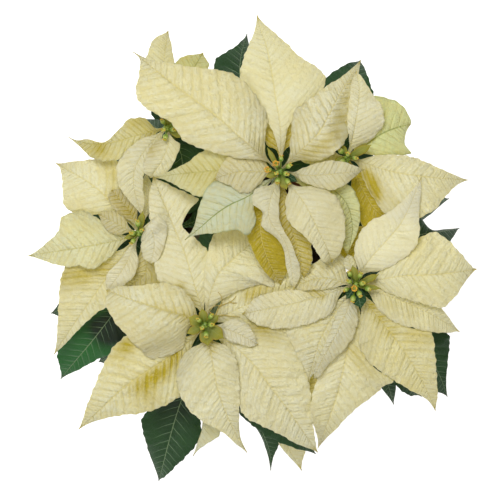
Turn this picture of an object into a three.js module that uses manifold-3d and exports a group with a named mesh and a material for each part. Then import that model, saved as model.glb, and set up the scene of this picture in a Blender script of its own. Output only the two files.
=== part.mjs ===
// A cream poinsettia in a plain nursery pot. Millimetres, +Z up, origin at the middle of the pot's foot.
// The blooms, bracts and leaves are set out on a plan sheet 500 mm square, seen from above: x runs to the
// right, y runs to the front, and the pot's axis stands at (AXIS_X, AXIS_Y). Every blade is given there by
// its midrib and its two edges. Blades are laid from the lowest to the highest, and each rests clear of
// the ones already laid.
import Module from 'manifold-3d';
import * as THREE from 'three';
import { mergeVertices } from 'three/addons/utils/BufferGeometryUtils.js';

const wasm = await Module();
wasm.setup();

// Plan sheet
const SHEET = 500;
const AXIS_X = 250;
const AXIS_Y = 243;

// Pot
const POT_HEIGHT = 132;
const POT_FOOT_RADIUS = 58;
const POT_NECK_RADIUS = 77;
const POT_SIDES = 32;
const RIM_HEIGHT = 14;
const RIM_STEP = 5;
const POT_WALL = 2.2;
const POT_FLOOR = 2.6;
const POT_EDGE = 1.5;
const DRAIN_HOLES = 6;
const DRAIN_RADIUS = 5;
const DRAIN_CIRCLE = 40;
const DRAIN_SIDES = 8;

// Soil
const SOIL_TOP = 117;
const SOIL_CRUMB = 0.8;
const SOIL_SIDES = 24;
const SOIL_RINGS = [62, 44, 24];
const STEM_ROOM = 0.6;
const STEM_HOLE_SIDES = 16;
const SEAT_GAP = 0.3;

// Stems
const TRUNK_FOOT = 62;
const TRUNK_TOP = 178;
const TRUNK_RADIUS = 7.6;
const TRUNK_TIP_RADIUS = 6;
const TRUNK_SIDES = 8;
const TRUNK_STEPS = 3;
const STUB_RADIUS = 4.8;
const STUB_REACH = 15;
const STUB_SIDES = 6;
const BRANCH_RADIUS = 4.2;
const BRANCH_TIP_RADIUS = 3.4;
const BRANCH_SIDES = 6;
const BRANCH_STEPS = 8;
const BRANCH_STAND = 12;
const LEAST_RISE = 0.55;
const NEAR_RISE = 42;
const PATH_SAMPLES = 200;
const HUB_RADIUS = 4;
const HUB_LENGTH = 30;
const HUB_SIDES = 6;

// Blades
const BRACT_THICKNESS = 0.8;
const LEAF_THICKNESS = 0.8;
const STALK_HALF_WIDTH = 1.5;
const STALK_EXTRA = 1.6;
const STALK_SHARE = 0.16;
const TIP_HALF_WIDTH = 0.5;
const BROAD = 42;
const FOLD = 0.2;
const CURL = 0.3;
const WAVES = 2.5;
const GOLDEN_ANGLE = 2.39996;
const LAY_GAP = 1.6;
const LAY_PASSES = 60;
const LAY_ENOUGH = 0.05;
const LEAST_SHARE = 0.2;
const SOFTEN_ROUNDS = 6;
const HUB_CLEAR = 15;
const CLUSTER_CLEAR_RADIUS = 14;
const CLUSTER_CLEAR_HEIGHT = 17;
const CELL = 2;
const NO_AREA = 1e-6;

// Flower clusters
const CUP_HEIGHT = 7;
const CUP_RADIUS = 2.7;
const CUP_SIDES = 5;
const CUP_STALK_RADIUS = 0.9;
const CUP_SPREAD = 4.2;
const CUP_RISE = 6.5;
const CUP_DIP = 0.3;
const CUP_ROOT = 0.22;
const GLAND_RADIUS = 2;
const KNOB_RADIUS = 3.4;
const KNOB_HEIGHT = 4;
const KNOB_SIDES = 6;
const INNER_ROOT = 2;
const INNER_SEAT = 0.6;

const finishes = {
  pot: { color: 0x9a5a3c, roughness: 0.55, metalness: 0 },
  soil: { color: 0x2b1d14, roughness: 0.95, metalness: 0 },
  wood: { color: 0x6f6246, roughness: 0.85, metalness: 0 },
  leaf: { color: 0x2f4d33, roughness: 0.55, metalness: 0 },
  bract: { color: 0xdbd5ab, roughness: 0.6, metalness: 0 },
  cyathia: { color: 0xa3ad45, roughness: 0.5, metalness: 0 },
};

// The six blooms: place on the sheet, height of the stem end, height of the fork on the main stem, and
// the bracts. low: how far below the stem end a bract springs. layer: its turn in the laying. lift: the
// rise of its arch. drop: how far its tip hangs below its root.
const blooms = {
  back: {
    x: 280, y: 172, top: 388, fork: 172, cups: 8,
    bracts: [
      { low: 24, layer: 59, lift: 14, drop: 6, wave: 2,
        rib: '262,156 243,140 215,115 190,97 165,78 148,64 133,52',
        left: '262,162 235,158 205,150 184,141 172,124 157,115 142,105 136,92 139,76 140,60',
        right: '264,150 268,120 255,95 237,76 214,70 190,67 168,63 150,60 142,56' },
      { low: 22, layer: 47.5, lift: 10, drop: 34, wave: 2,
        rib: '281,150 280,125 277,108 272,75 266,45 260,28 257,15',
        left: '278,152 271,128 252,102 240,80 243,60 250,42 256,26',
        right: '285,150 288,128 302,110 320,96 325,77 313,65 300,57 285,42 268,27' },
      { low: 27, layer: 46.5, lift: 4, drop: 24, wave: 1,
        rib: '280,151 280,137 280,122 281,106',
        left: '278,151 272,137 264,123 270,109',
        right: '283,151 292,138 298,124 291,109' },
      { low: 16, layer: 48.5, lift: 6, drop: 42, wave: 3,
        rib: '291,160 300,150 313,140 323,126 333,106 345,86 361,60',
        left: '287,155 291,134 294,112 310,99 325,87 340,78 351,69',
        right: '300,163 322,160 338,150 348,135 350,112 354,90 359,72' },
      { low: 5, layer: 60, lift: 7, drop: 6, wave: 1,
        rib: '294,174 308,176 326,175 345,173 364,170',
        left: '294,171 306,167 322,162 336,161 349,164 357,167',
        right: '296,179 307,184 322,189 334,190 346,184 357,175' },
      { low: 8, layer: 58, lift: 12, drop: 20, wave: 1.5,
        rib: '290,186 299,196 308,210 317,228 326,246 332,262',
        left: '297,185 316,187 333,194 341,206 345,222 344,240 339,255',
        right: '287,189 285,204 288,221 298,231 308,240 316,251 323,262' },
      { low: 18, layer: 54, lift: 8, drop: 30, wave: 1.5,
        rib: '300,178 320,184 337,193 348,207 352,225 351,240 347,255',
        left: '302,174 325,178 345,183 354,191 359,204 360,218 357,233 351,246',
        right: '298,184 315,194 329,206 338,222 340,238 342,249' },
      { low: 14, layer: 57, lift: 8, drop: 38, wave: 1.5,
        rib: '275,188 269,206 271,224 283,238 290,258 294,290',
        left: '270,184 256,189 252,203 262,212 262,227 274,236 283,248 286,266 290,281',
        right: '281,186 279,204 281,226 289,238 296,256 301,272 297,284' },
      { low: 20, layer: 53, lift: 4, drop: 44, wave: 1,
        rib: '270,194 262,214 261,236 268,260 281,285',
        left: '264,190 251,203 243,220 248,240 258,262 270,278',
        right: '277,194 282,214 286,238 289,260 287,277' },
      { low: 21, layer: 53.5, lift: 4, drop: 46, wave: 1,
        rib: '283,194 288,216 295,240 300,260 304,278',
        left: '288,192 301,218 310,238 312,262 307,274',
        right: '278,194 279,220 287,244 296,266' },
      { low: 11, layer: 55, lift: 9, drop: 26, wave: 1,
        rib: '266,184 249,196 230,205 215,215 200,228 185,240',
        left: '267,188 254,205 256,221 248,235 236,230 218,233 205,234 193,236',
        right: '263,180 246,189 230,183 214,181 204,194 198,211 192,232' },
      { low: 19, layer: 52, lift: 8, drop: 34, wave: 1.5,
        rib: '262,171 240,170 216,171 192,173 172,175 154,178',
        left: '263,176 243,188 220,196 200,197 184,190 167,181',
        right: '264,166 244,155 222,149 203,151 188,162 170,171' },
      { low: 6, layer: 56, lift: 4, drop: 4, wave: 1.5,
        rib: '268,172 254,172 240,172 226,175 214,180',
        left: '268,176 256,188 244,194 230,186 220,182',
        right: '269,168 258,159 244,154 228,158 219,170' },
    ],
  },
  right_back: {
    x: 347, y: 158, top: 372, fork: 160, cups: 5,
    bracts: [
      { low: 10, layer: 61, lift: 12, drop: 14, wave: 1.5,
        rib: '351,145 355,125 358,105 359,88 356,71',
        left: '349,143 347,123 349,100 351,84 353,76',
        right: '359,148 374,137 384,122 381,106 372,94 365,82 360,75' },
      { low: 16, layer: 47, lift: 8, drop: 26, wave: 1.5,
        rib: '360,150 375,138 390,130 400,127 411,124',
        left: '354,143 360,122 373,97 388,99 402,105 411,121',
        right: '363,155 380,156 396,155 411,154 405,145 406,133' },
      { low: 12, layer: 49, lift: 10, drop: 34, wave: 2,
        rib: '364,163 385,170 410,175 438,178 468,180',
        left: '362,158 380,155 396,155 412,157 430,164 450,173',
        right: '361,169 374,181 382,198 395,213 413,217 433,211 445,197 455,187' },
      { low: 20, layer: 48, lift: 4, drop: 28, wave: 1.5,
        rib: '355,174 364,192 374,208 391,222',
        left: '365,169 377,180 387,196 395,212',
        right: '350,176 352,196 357,214 365,228 379,226' },
      { low: 22, layer: 46, lift: 3, drop: 24, wave: 1.5,
        rib: '334,156 318,152 303,149 290,150',
        left: '336,162 320,166 305,163 296,156',
        right: '336,150 322,141 308,139 297,143' },
    ],
  },
  left: {
    x: 139, y: 233, top: 320, fork: 150, cups: 6,
    bracts: [
      { low: 20, layer: 14, lift: 12, drop: 34, wave: 2,
        rib: '126,218 112,203 95,187 75,174 55,163',
        left: '120,219 101,214 79,216 64,205 62,186 60,170',
        right: '138,216 133,196 123,172 112,156 93,159 72,161' },
      { low: 17, layer: 18, lift: 12, drop: 36, wave: 2,
        rib: '124,239 100,244 78,248 52,252 27,256',
        left: '123,244 110,257 93,269 80,266 67,267 50,263 38,259',
        right: '124,233 105,226 80,214 62,217 58,231 48,241 37,250' },
      { low: 6, layer: 21, lift: 5, drop: 8, wave: 0.5,
        rib: '128,230 118,224 108,219 98,214',
        left: '127,234 116,235 106,230 101,222',
        right: '130,225 122,216 112,211 104,211' },
      { low: 24, layer: 15, lift: 8, drop: 50, wave: 2,
        rib: '126,250 110,272 92,298 72,326 53,355',
        left: '132,256 127,280 116,301 98,312 80,328 63,346',
        right: '122,247 97,256 68,264 60,280 58,302 56,335' },
      { low: 10, layer: 20, lift: 4, drop: 12, wave: 1,
        rib: '133,247 127,262 118,276 107,291',
        left: '138,250 138,264 133,277 120,288',
        right: '128,246 121,259 109,271 105,281' },
      { low: 4, layer: 22, lift: 7, drop: 4, wave: 1,
        rib: '147,226 153,234 154,249 150,264',
        left: '148,222 160,216 167,226 165,244 158,260',
        right: '144,229 141,240 142,254 146,262' },
      { low: 12, layer: 19, lift: 6, drop: 10, wave: 2.5,
        rib: '134,220 127,208 119,198 111,190',
        left: '130,223 118,214 110,203 108,195',
        right: '139,219 135,204 128,194 118,189' },
      { low: 18, layer: 13, lift: 3, drop: 8, wave: 0.5,
        rib: '143,218 147,204 148,188 146,172',
        left: '140,217 142,203 142,188 143,178',
        right: '147,219 152,204 153,188 149,178' },
      { low: 21, layer: 13.5, lift: 2, drop: 18, wave: 1,
        rib: '144,248 147,263 144,275 124,288',
        left: '150,246 162,262 163,278 146,288',
        right: '138,250 137,263 132,276 124,283' },
    ],
  },
  front: {
    x: 205, y: 325, top: 346, fork: 154, cups: 5,
    bracts: [
      { low: 22, layer: 30, lift: 10, drop: 16, wave: 2,
        rib: '201,306 193,280 184,251 174,227 165,205 153,176',
        left: '193,306 171,292 154,272 157,248 150,222 149,198 151,184',
        right: '206,304 211,276 208,252 195,238 182,225 190,209 198,199 180,190 162,181' },
      { low: 14, layer: 35, lift: 9, drop: 22, wave: 1.5,
        rib: '208,305 216,278 228,264 241,252 256,240',
        left: '204,306 204,277 208,252 214,234 230,229 247,232',
        right: '217,306 235,292 260,285 275,287 266,268 258,252' },
      { low: 18, layer: 28, lift: 6, drop: 14, wave: 1,
        rib: '222,317 250,303 282,290 314,279',
        left: '214,309 236,288 264,272 294,266',
        right: '222,325 248,326 280,312 306,294' },
      { low: 5, layer: 36, lift: 4, drop: 8, wave: 0.8,
        rib: '219,327 232,331 245,337 258,345',
        left: '219,323 235,319 248,325 255,336',
        right: '218,332 230,341 243,345 252,347' },
      { low: 16, layer: 33, lift: 12, drop: 40, wave: 2,
        rib: '220,336 238,349 255,366 270,386 286,407 302,430 318,453',
        left: '222,328 251,324 281,327 303,341 308,369 311,397 313,424 316,443',
        right: '218,341 235,362 239,385 238,408 252,421 275,432 300,446' },
      { low: 10, layer: 34, lift: 12, drop: 36, wave: 2,
        rib: '209,343 214,370 219,394 231,424 247,453',
        left: '215,341 232,350 239,372 240,396 239,420 241,440',
        right: '202,341 186,352 177,372 180,394 190,411 205,423 222,432 238,446' },
      { low: 20, layer: 29, lift: 8, drop: 40, wave: 2,
        rib: '192,339 171,356 148,371 122,389 100,410 78,430',
        left: '195,344 183,368 183,392 166,405 143,413 118,416 94,422',
        right: '188,334 158,336 134,333 115,345 103,366 94,387 85,410' },
      { low: 13, layer: 31, lift: 8, drop: 22, wave: 1.5,
        rib: '188,317 168,311 148,305 127,298 106,290',
        left: '189,329 182,349 166,356 151,359 137,347 124,333 112,318 105,303',
        right: '197,309 185,291 171,284 154,283 138,286 120,286' },
      { low: 25, layer: 26, lift: 4, drop: 60, wave: 1,
        rib: '204,350 203,385 203,420 193,457',
        left: '212,352 218,388 221,431 203,447',
        right: '201,352 201,388 203,424 199,442' },
      { low: 26, layer: 2.85, lift: 2, drop: 88, wave: 1.5,
        rib: '226,340 252,386 278,430 302,472',
        left: '231,336 268,383 296,425 306,450',
        right: '222,343 242,390 268,427 284,452' },
    ],
  },
  right: {
    x: 356, y: 285, top: 350, fork: 146, cups: 9,
    bracts: [
      { low: 10, layer: 41, lift: 12, drop: 28, wave: 2,
        rib: '373,281 400,276 425,275 450,273 477,269',
        left: '371,276 394,260 415,241 434,232 450,242 463,256 471,265',
        right: '373,287 396,296 420,303 441,308 455,297 467,280' },
      { low: 14, layer: 40, lift: 10, drop: 38, wave: 1.5,
        rib: '371,290 386,295 402,301 421,309 440,319 460,332',
        left: '374,286 400,291 424,299 441,307 451,320',
        right: '367,294 380,311 396,323 413,328 431,331 448,329' },
      { low: 18, layer: 39, lift: 10, drop: 42, wave: 2,
        rib: '366,302 384,324 400,345 415,368 427,390 436,411',
        left: '371,298 390,318 411,328 431,332 435,352 435,376 434,398',
        right: '359,303 361,322 358,341 368,361 386,375 408,389 426,399' },
      { low: 9, layer: 45, lift: 5, drop: 24, wave: 1.5,
        rib: '351,300 341,324 331,344 321,362 313,380',
        left: '357,302 358,322 352,339 341,353 330,363 319,377',
        right: '345,298 335,318 327,339 318,359 312,373' },
      { low: 21, layer: 38, lift: 8, drop: 48, wave: 2,
        rib: '354,304 351,332 345,362 338,392 329,420 318,449',
        left: '360,304 363,332 364,352 376,369 394,380 383,387 376,394 354,411 335,431',
        right: '348,303 340,329 330,354 319,374 313,393 310,416 316,433' },
      { low: 12, layer: 43, lift: 7, drop: 14, wave: 2,
        rib: '338,290 318,297 292,304 266,309 242,314',
        left: '341,298 330,314 306,325 281,329 261,326 249,320',
        right: '339,286 326,292 302,291 276,292 252,300' },
      { low: 17, layer: 42, lift: 4, drop: 24, wave: 1.5,
        rib: '343,302 330,321 319,343 308,382',
        left: '349,304 340,329 326,353 315,375',
        right: '337,298 315,311 294,324 298,343 303,366' },
      { low: 7, layer: 44, lift: 5, drop: 8, wave: 2,
        rib: '342,282 326,278 310,280 293,288',
        left: '342,287 328,288 312,289 300,290',
        right: '346,271 339,254 320,259 303,274' },
      { low: 22, layer: 37, lift: 6, drop: 18, wave: 2,
        rib: '362,271 374,253 390,236 414,216',
        left: '356,270 355,252 361,234 373,226 393,218',
        right: '368,275 386,267 401,258 416,246 420,230' },
      { low: 25, layer: 36.5, lift: 3, drop: 10, wave: 0.5,
        rib: '352,266 350,250 354,238 362,226',
        left: '345,267 335,254 341,238 354,227',
        right: '359,266 361,252 363,240 369,229' },
      { low: 27, layer: 27, lift: 3, drop: 50, wave: 0.5,
        rib: '350,304 336,345 320,385 314,416',
        left: '354,305 345,345 330,385 318,410',
        right: '345,303 325,345 308,385 309,410' },
      { low: 4, layer: 46, lift: 4, drop: 0, wave: 0.5,
        rib: '353,273 350,264 348,254',
        left: '349,273 344,266 344,259',
        right: '357,272 356,264 353,257' },
    ],
  },
  left_back: {
    x: 167, y: 128, top: 334, fork: 165, cups: 5,
    bracts: [
      { low: 18, layer: 10, lift: 10, drop: 28, wave: 1.5,
        rib: '166,112 164,90 163,70 165,50 168,30',
        left: '162,112 152,92 145,72 147,54 155,37',
        right: '171,112 178,92 176,70 173,55 171,42' },
      { low: 20, layer: 11, lift: 8, drop: 30, wave: 1.5,
        rib: '172,114 181,94 190,75 203,52',
        left: '167,113 170,91 173,67 185,55',
        right: '177,116 193,98 203,80 209,63' },
      { low: 14, layer: 16, lift: 8, drop: 26, wave: 3,
        rib: '154,131 132,137 110,143 90,144 68,137',
        left: '156,136 142,148 124,158 104,161 92,158 80,147',
        right: '155,125 145,115 128,117 118,128 104,141 88,137 76,139' },
      { low: 8, layer: 24, lift: 10, drop: 4, wave: 1,
        rib: '157,137 143,153 134,172 135,193 142,216',
        left: '161,140 151,155 145,170 143,188 145,203',
        right: '153,133 138,141 126,151 117,166 119,186 131,203' },
      { low: 5, layer: 25, lift: 6, drop: 2, wave: 0.8,
        rib: '169,140 166,152 160,164 150,178',
        left: '177,139 180,147 174,162 164,176',
        right: '162,140 152,148 145,160 143,172' },
      { low: 22, layer: 12, lift: 6, drop: 18, wave: 1,
        rib: '181,122 200,116 220,114 240,116',
        left: '180,117 200,105 220,106 232,111',
        right: '181,128 200,129 220,124 232,121' },
    ],
  },
};

// Green leaves that reach out from under the bracts. stem: the branch. at: height of the root on it.
const leaves = [
  { stem: 'front', at: 262, lift: 8, drop: 64, wave: 1.5,
    rib: '200,345 192,370 182,398 173,426 165,456 158,483',
    left: '204,347 202,375 205,400 200,418 201,436 191,452 175,468 164,479',
    right: '195,345 178,375 160,400 143,412 142,430 148,453 154,471' },
  { stem: 'left', at: 252, lift: 8, drop: 52, wave: 1.5,
    rib: '146,262 128,292 108,320 90,343 73,363 59,380',
    left: '150,266 140,298 126,324 114,340 113,351 95,361 77,371',
    right: '141,259 122,282 104,306 84,322 65,339 57,352 59,368' },
  { stem: 'left', at: 226, lift: 6, drop: 40, wave: 1.5,
    rib: '140,256 120,274 98,290 74,303 49,314',
    left: '144,261 128,286 106,306 80,316 60,318',
    right: '136,252 112,260 90,268 72,284 58,302' },
  { stem: 'front', at: 236, lift: 6, drop: 56, wave: 1.5,
    rib: '190,315 168,327 146,340 122,352 97,363',
    left: '192,321 178,342 158,360 134,367 112,368',
    right: '187,310 162,308 138,320 116,336 102,351' },
  { stem: 'back', at: 296, lift: 6, drop: 70, wave: 1.5,
    rib: '268,160 258,132 247,104 240,78 241,55 247,32',
    left: '263,161 244,138 226,110 213,86 213,70 217,57 233,47 243,38',
    right: '273,159 272,132 266,104 256,80 250,58 248,42' },
  { stem: 'right_back', at: 272, lift: 6, drop: 48, wave: 1.5,
    rib: '344,150 346,128 350,104 355,82 361,59',
    left: '339,150 326,128 320,106 322,83 338,68 352,61',
    right: '349,149 364,128 376,108 374,93 369,77 365,66' },
  { stem: 'right_back', at: 246, lift: 6, drop: 50, wave: 1.5,
    rib: '354,190 378,200 402,206 426,207 451,198',
    left: '357,184 382,182 406,186 430,192 444,195',
    right: '352,195 372,216 396,226 416,224 432,214' },
  { stem: 'right', at: 282, lift: 4, drop: 52, wave: 1.5,
    rib: '366,262 390,245 414,236 438,232 461,228',
    left: '362,256 380,228 402,218 418,214 431,229 446,229',
    right: '370,267 394,262 416,256 434,250 449,243 456,235' },
  { stem: 'right', at: 262, lift: 6, drop: 58, wave: 1.5,
    rib: '362,298 384,314 406,330 426,352 440,374 449,398',
    left: '366,293 392,300 416,312 434,322 450,336 450,354 448,378',
    right: '358,303 372,326 390,346 408,366 424,384 437,396' },
  { stem: 'right', at: 240, lift: 4, drop: 50, wave: 1.2,
    rib: '346,300 362,322 374,348 386,376 395,406',
    left: '352,298 374,322 390,348 397,372 397,392',
    right: '341,302 350,328 360,352 372,374 386,394' },
  { stem: 'front', at: 214, lift: 6, drop: 46, wave: 1.2,
    rib: '218,320 228,348 242,384 258,424 269,450 271,473',
    left: '223,318 244,350 264,386 280,422 282,440 275,456',
    right: '213,323 214,352 222,388 240,416 257,431 266,451' },
  { stem: 'front', at: 288, lift: 4, drop: 40, wave: 1.2,
    rib: '212,352 234,378 262,402 290,427 316,455',
    left: '216,350 250,370 282,394 303,420 311,441',
    right: '208,354 222,384 238,412 268,437 298,450' },
  { stem: 'right', at: 252, lift: 5, drop: 56, wave: 1.2,
    rib: '364,306 380,330 394,354 408,376 423,398',
    left: '368,303 392,330 410,356 420,380',
    right: '360,309 372,338 384,362 396,385 411,397' },
  { stem: 'left_back', at: 268, lift: 6, drop: 20, wave: 1.2,
    rib: '176,142 181,155 182,173 178,196 168,214',
    left: '182,139 198,148 210,169 207,196 190,213',
    right: '169,146 160,158 150,172 150,192 155,207' },
  { stem: 'back', at: 262, lift: 4, drop: 30, wave: 1,
    rib: '284,166 292,150 298,130 302,108',
    left: '277,166 263,150 271,126 290,112',
    right: '294,172 318,168 326,144 316,118' },
];

// Plainer leaves lower on each branch, which close the skirt round the pot.
// bearing: degrees from +X, turning left. stalk and blade: lengths.
const skirt = [
  { stem: 'back', at: 226, bearing: 72, stalk: 44, blade: 104 },
  { stem: 'back', at: 250, bearing: 112, stalk: 36, blade: 96 },
  { stem: 'right_back', at: 214, bearing: 48, stalk: 40, blade: 100 },
  { stem: 'right_back', at: 196, bearing: 12, stalk: 42, blade: 98 },
  { stem: 'right', at: 206, bearing: -20, stalk: 40, blade: 100 },
  { stem: 'right', at: 186, bearing: -62, stalk: 42, blade: 96 },
  { stem: 'front', at: 192, bearing: -84, stalk: 40, blade: 100 },
  { stem: 'front', at: 204, bearing: -136, stalk: 42, blade: 98 },
  { stem: 'left', at: 200, bearing: 196, stalk: 40, blade: 80 },
  { stem: 'left', at: 214, bearing: 158, stalk: 36, blade: 80 },
  { stem: 'left_back', at: 208, bearing: 160, stalk: 36, blade: 84 },
  { stem: 'left_back', at: 232, bearing: 106, stalk: 38, blade: 84 },
];
// Leaves that close the middle of the plant.
const middleLeaves = [
  { stem: 'front', at: 258, bearing: 82, stalk: 34, blade: 84 },
  { stem: 'right', at: 256, bearing: 200, stalk: 30, blade: 80 },
  { stem: 'left', at: 236, bearing: 20, stalk: 34, blade: 60 },
];
const SKIRT_WIDTH_SHARE = 0.31;
const SKIRT_LIFT = 8;
const SKIRT_DROP = 46;
const SKIRT_WAVE = 1.5;

// Small green and yellow-green bracts close round the flowers: bearing, length, half width.
const innerBracts = {
  back: [[118, 27, 3], [200, 15, 4], [-70, 19, 6], [-30, 20, 4]],
  right_back: [[28, 27, 5], [195, 14, 4], [110, 14, 3]],
  left: [[80, 22, 4], [200, 16, 3], [-60, 20, 4]],
  front: [[100, 17, 5], [155, 18, 7], [205, 20, 5], [-35, 23, 8], [-82, 21, 8], [35, 17, 5]],
  right: [[25, 25, 4], [-8, 25, 3], [-78, 24, 8], [-125, 17, 5], [100, 20, 5]],
  left_back: [[85, 20, 4], [36, 16, 4], [-32, 18, 4]],
};

// A solid from corner positions and triangles, turned to face out.
function solidOf(positions, triangles) {
  let volume = 0;
  const a = new THREE.Vector3();
  const b = new THREE.Vector3();
  const c = new THREE.Vector3();
  for (let i = 0; i < triangles.length; i += 3) {
    a.fromArray(positions, 3 * triangles[i]);
    b.fromArray(positions, 3 * triangles[i + 1]);
    c.fromArray(positions, 3 * triangles[i + 2]);
    volume += a.dot(b.cross(c));
  }
  const facing = volume < 0 ? [...triangles].reverse() : triangles;
  return new wasm.Manifold(new wasm.Mesh({
    numProp: 3,
    vertProperties: Float32Array.from(positions),
    triVerts: Uint32Array.from(facing),
  }));
}

function solidOfGeometry(geometry) {
  const bare = geometry.clone();
  bare.deleteAttribute('normal');
  bare.deleteAttribute('uv');
  const merged = mergeVertices(bare, 1e-3);
  const index = merged.index.array;
  const kept = [];
  for (let i = 0; i < index.length; i += 3) {
    const [p, q, r] = index.slice(i, i + 3);
    if (p !== q && q !== r && r !== p) kept.push(p, q, r);
  }
  return solidOf(Array.from(merged.attributes.position.array), kept);
}

function joined(solids) {
  return solids.reduce((whole, solid) => whole.add(solid));
}

function meshOf(name, solid, finish) {
  const { numProp, vertProperties, triVerts } = solid.getMesh();
  const geometry = new THREE.BufferGeometry();
  const positions = new Float32Array((vertProperties.length / numProp) * 3);
  for (let i = 0; i < positions.length / 3; i++) {
    positions.set(vertProperties.slice(i * numProp, i * numProp + 3), 3 * i);
  }
  geometry.setAttribute('position', new THREE.BufferAttribute(positions, 3));
  geometry.setIndex(Array.from(triVerts));
  geometry.computeVertexNormals();
  const mesh = new THREE.Mesh(geometry, new THREE.MeshStandardMaterial(finishes[finish]));
  mesh.name = name;
  return mesh;
}

// A round stem along a curve, from one radius to another, with flat ends.
function stem(points, startRadius, endRadius, sides, steps) {
  const curve = new THREE.CatmullRomCurve3(points);
  const frames = curve.computeFrenetFrames(steps, false);
  const positions = [];
  const triangles = [];
  for (let i = 0; i <= steps; i++) {
    const centre = curve.getPointAt(i / steps);
    const radius = THREE.MathUtils.lerp(startRadius, endRadius, i / steps);
    for (let k = 0; k < sides; k++) {
      const angle = (2 * Math.PI * k) / sides;
      const point = centre.clone()
        .addScaledVector(frames.normals[i], radius * Math.cos(angle))
        .addScaledVector(frames.binormals[i], radius * Math.sin(angle));
      positions.push(...point.toArray());
    }
  }
  for (let i = 0; i < steps; i++) {
    for (let k = 0; k < sides; k++) {
      const here = i * sides + k;
      const next = i * sides + ((k + 1) % sides);
      triangles.push(here, next, here + sides, next, next + sides, here + sides);
    }
  }
  for (let k = 1; k < sides - 1; k++) {
    const last = steps * sides;
    triangles.push(0, k + 1, k, last, last + k, last + k + 1);
  }
  return solidOf(positions, triangles);
}

const up = new THREE.Vector3(0, 0, 1);

// From the plan sheet to the plant's own axes
const onSheet = (x, y) => new THREE.Vector2(x - AXIS_X, AXIS_Y - y);

function sheetPoints(text) {
  return text.split(' ').map((pair) => onSheet(...pair.split(',').map(Number)));
}

// The height of everything laid so far, in square cells over the sheet.
const cells = SHEET / CELL;
const laid = new Float32Array(cells * cells).fill(-1);

function cellAt(x, y) {
  const column = Math.floor((x + SHEET / 2) / CELL);
  const row = Math.floor((y + SHEET / 2) / CELL);
  return row * cells + column;
}

// One point for each row of a blade: the points as given where they are enough, or evenly spaced ones.
function stations(points, rows) {
  return points.length === rows + 1 ? points : new THREE.SplineCurve(points).getSpacedPoints(rows);
}

// How far along its line each point lies, from 0 to 1.
function sharesAlong(points) {
  const lengths = [0];
  for (let i = 1; i < points.length; i++) {
    lengths.push(lengths[i - 1] + points[i].distanceTo(points[i - 1]));
  }
  return lengths.map((length) => length / lengths[lengths.length - 1]);
}

// The rows and columns of one blade: places on the plan and heights of the underside.
function layOut(blade, turn) {
  const root = new THREE.Vector2(blade.root.x, blade.root.y);
  const rib = [root, ...blade.rib];
  const tip = rib[rib.length - 1];
  const rows = Math.max(blade.left.length, blade.right.length) + 1;
  const ahead = blade.rib[0].clone().sub(root).normalize();
  const aside = new THREE.Vector2(-ahead.y, ahead.x);
  const endAhead = tip.clone().sub(rib[rib.length - 2]).normalize();
  const endAside = new THREE.Vector2(-endAhead.y, endAhead.x);
  const edge = (points, side) => stations([
    root.clone().addScaledVector(aside, side * STALK_HALF_WIDTH),
    ...points,
    tip.clone().addScaledVector(endAside, side * TIP_HALF_WIDTH),
  ], rows);
  const left = edge(blade.left, 1);
  const right = edge(blade.right, -1);
  const leftShares = sharesAlong(left);
  const rightShares = sharesAlong(right);
  const along = new THREE.SplineCurve(rib);
  const middle = leftShares.map((share, i) => along.getPointAt((share + rightShares[i]) / 2));
  const widest = Math.max(...middle.map((p, i) => Math.max(p.distanceTo(left[i]), p.distanceTo(right[i]))));
  const shares = widest > BROAD ? [-1, -0.5, 0, 0.5, 1] : [-1, 0, 1];
  const vertices = [];
  for (let i = 0; i <= rows; i++) {
    const t = i / rows;
    const spine = blade.root.z + blade.lift * 4 * t * (1 - t) - blade.drop * t * t;
    for (const share of shares) {
      const side = share > 0 ? left[i] : right[i];
      const u = Math.abs(share);
      const place = middle[i].clone().lerp(side, u);
      const width = middle[i].distanceTo(side);
      const ripple = blade.wave * u * u * Math.sin(2 * Math.PI * WAVES * t + GOLDEN_ANGLE * turn + share);
      const fade = Math.min(1, 4 * t * (1 - t));
      const z = spine + (FOLD * u - CURL * u * u) * width + ripple * fade;
      vertices.push({ x: place.x, y: place.y, z, t });
    }
  }
  const columns = shares.length;
  const triangles = [];
  for (let i = 0; i < rows; i++) {
    for (let j = 0; j < columns - 1; j++) {
      const a = i * columns + j;
      const b = a + columns;
      if (j < (columns - 1) / 2) triangles.push([a, a + 1, b], [a + 1, b + 1, b]);
      else triangles.push([a, a + 1, b + 1], [a, b + 1, b]);
    }
  }
  return { ...blade, rows, columns, vertices, triangles };
}

// Where a blade is tested against what lies under it: its corners and every cell that it covers.
function samplesOf(grid) {
  const samples = grid.vertices.map((v, i) => ({ parts: [[i, 1]], x: v.x, y: v.y }));
  for (const triangle of grid.triangles) {
    const [a, b, c] = triangle.map((i) => grid.vertices[i]);
    const area = (b.x - a.x) * (c.y - a.y) - (c.x - a.x) * (b.y - a.y);
    if (Math.abs(area) < NO_AREA) continue;
    const low = { x: Math.min(a.x, b.x, c.x), y: Math.min(a.y, b.y, c.y) };
    const high = { x: Math.max(a.x, b.x, c.x), y: Math.max(a.y, b.y, c.y) };
    for (let x = (Math.floor(low.x / CELL) + 0.5) * CELL; x < high.x; x += CELL) {
      for (let y = (Math.floor(low.y / CELL) + 0.5) * CELL; y < high.y; y += CELL) {
        const second = ((x - a.x) * (c.y - a.y) - (c.x - a.x) * (y - a.y)) / area;
        const third = ((b.x - a.x) * (y - a.y) - (x - a.x) * (b.y - a.y)) / area;
        if (second < 0 || third < 0 || second + third > 1) continue;
        const parts = [[triangle[0], 1 - second - third], [triangle[1], second], [triangle[2], third]];
        samples.push({ parts, x, y });
      }
    }
  }
  return samples;
}

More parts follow.
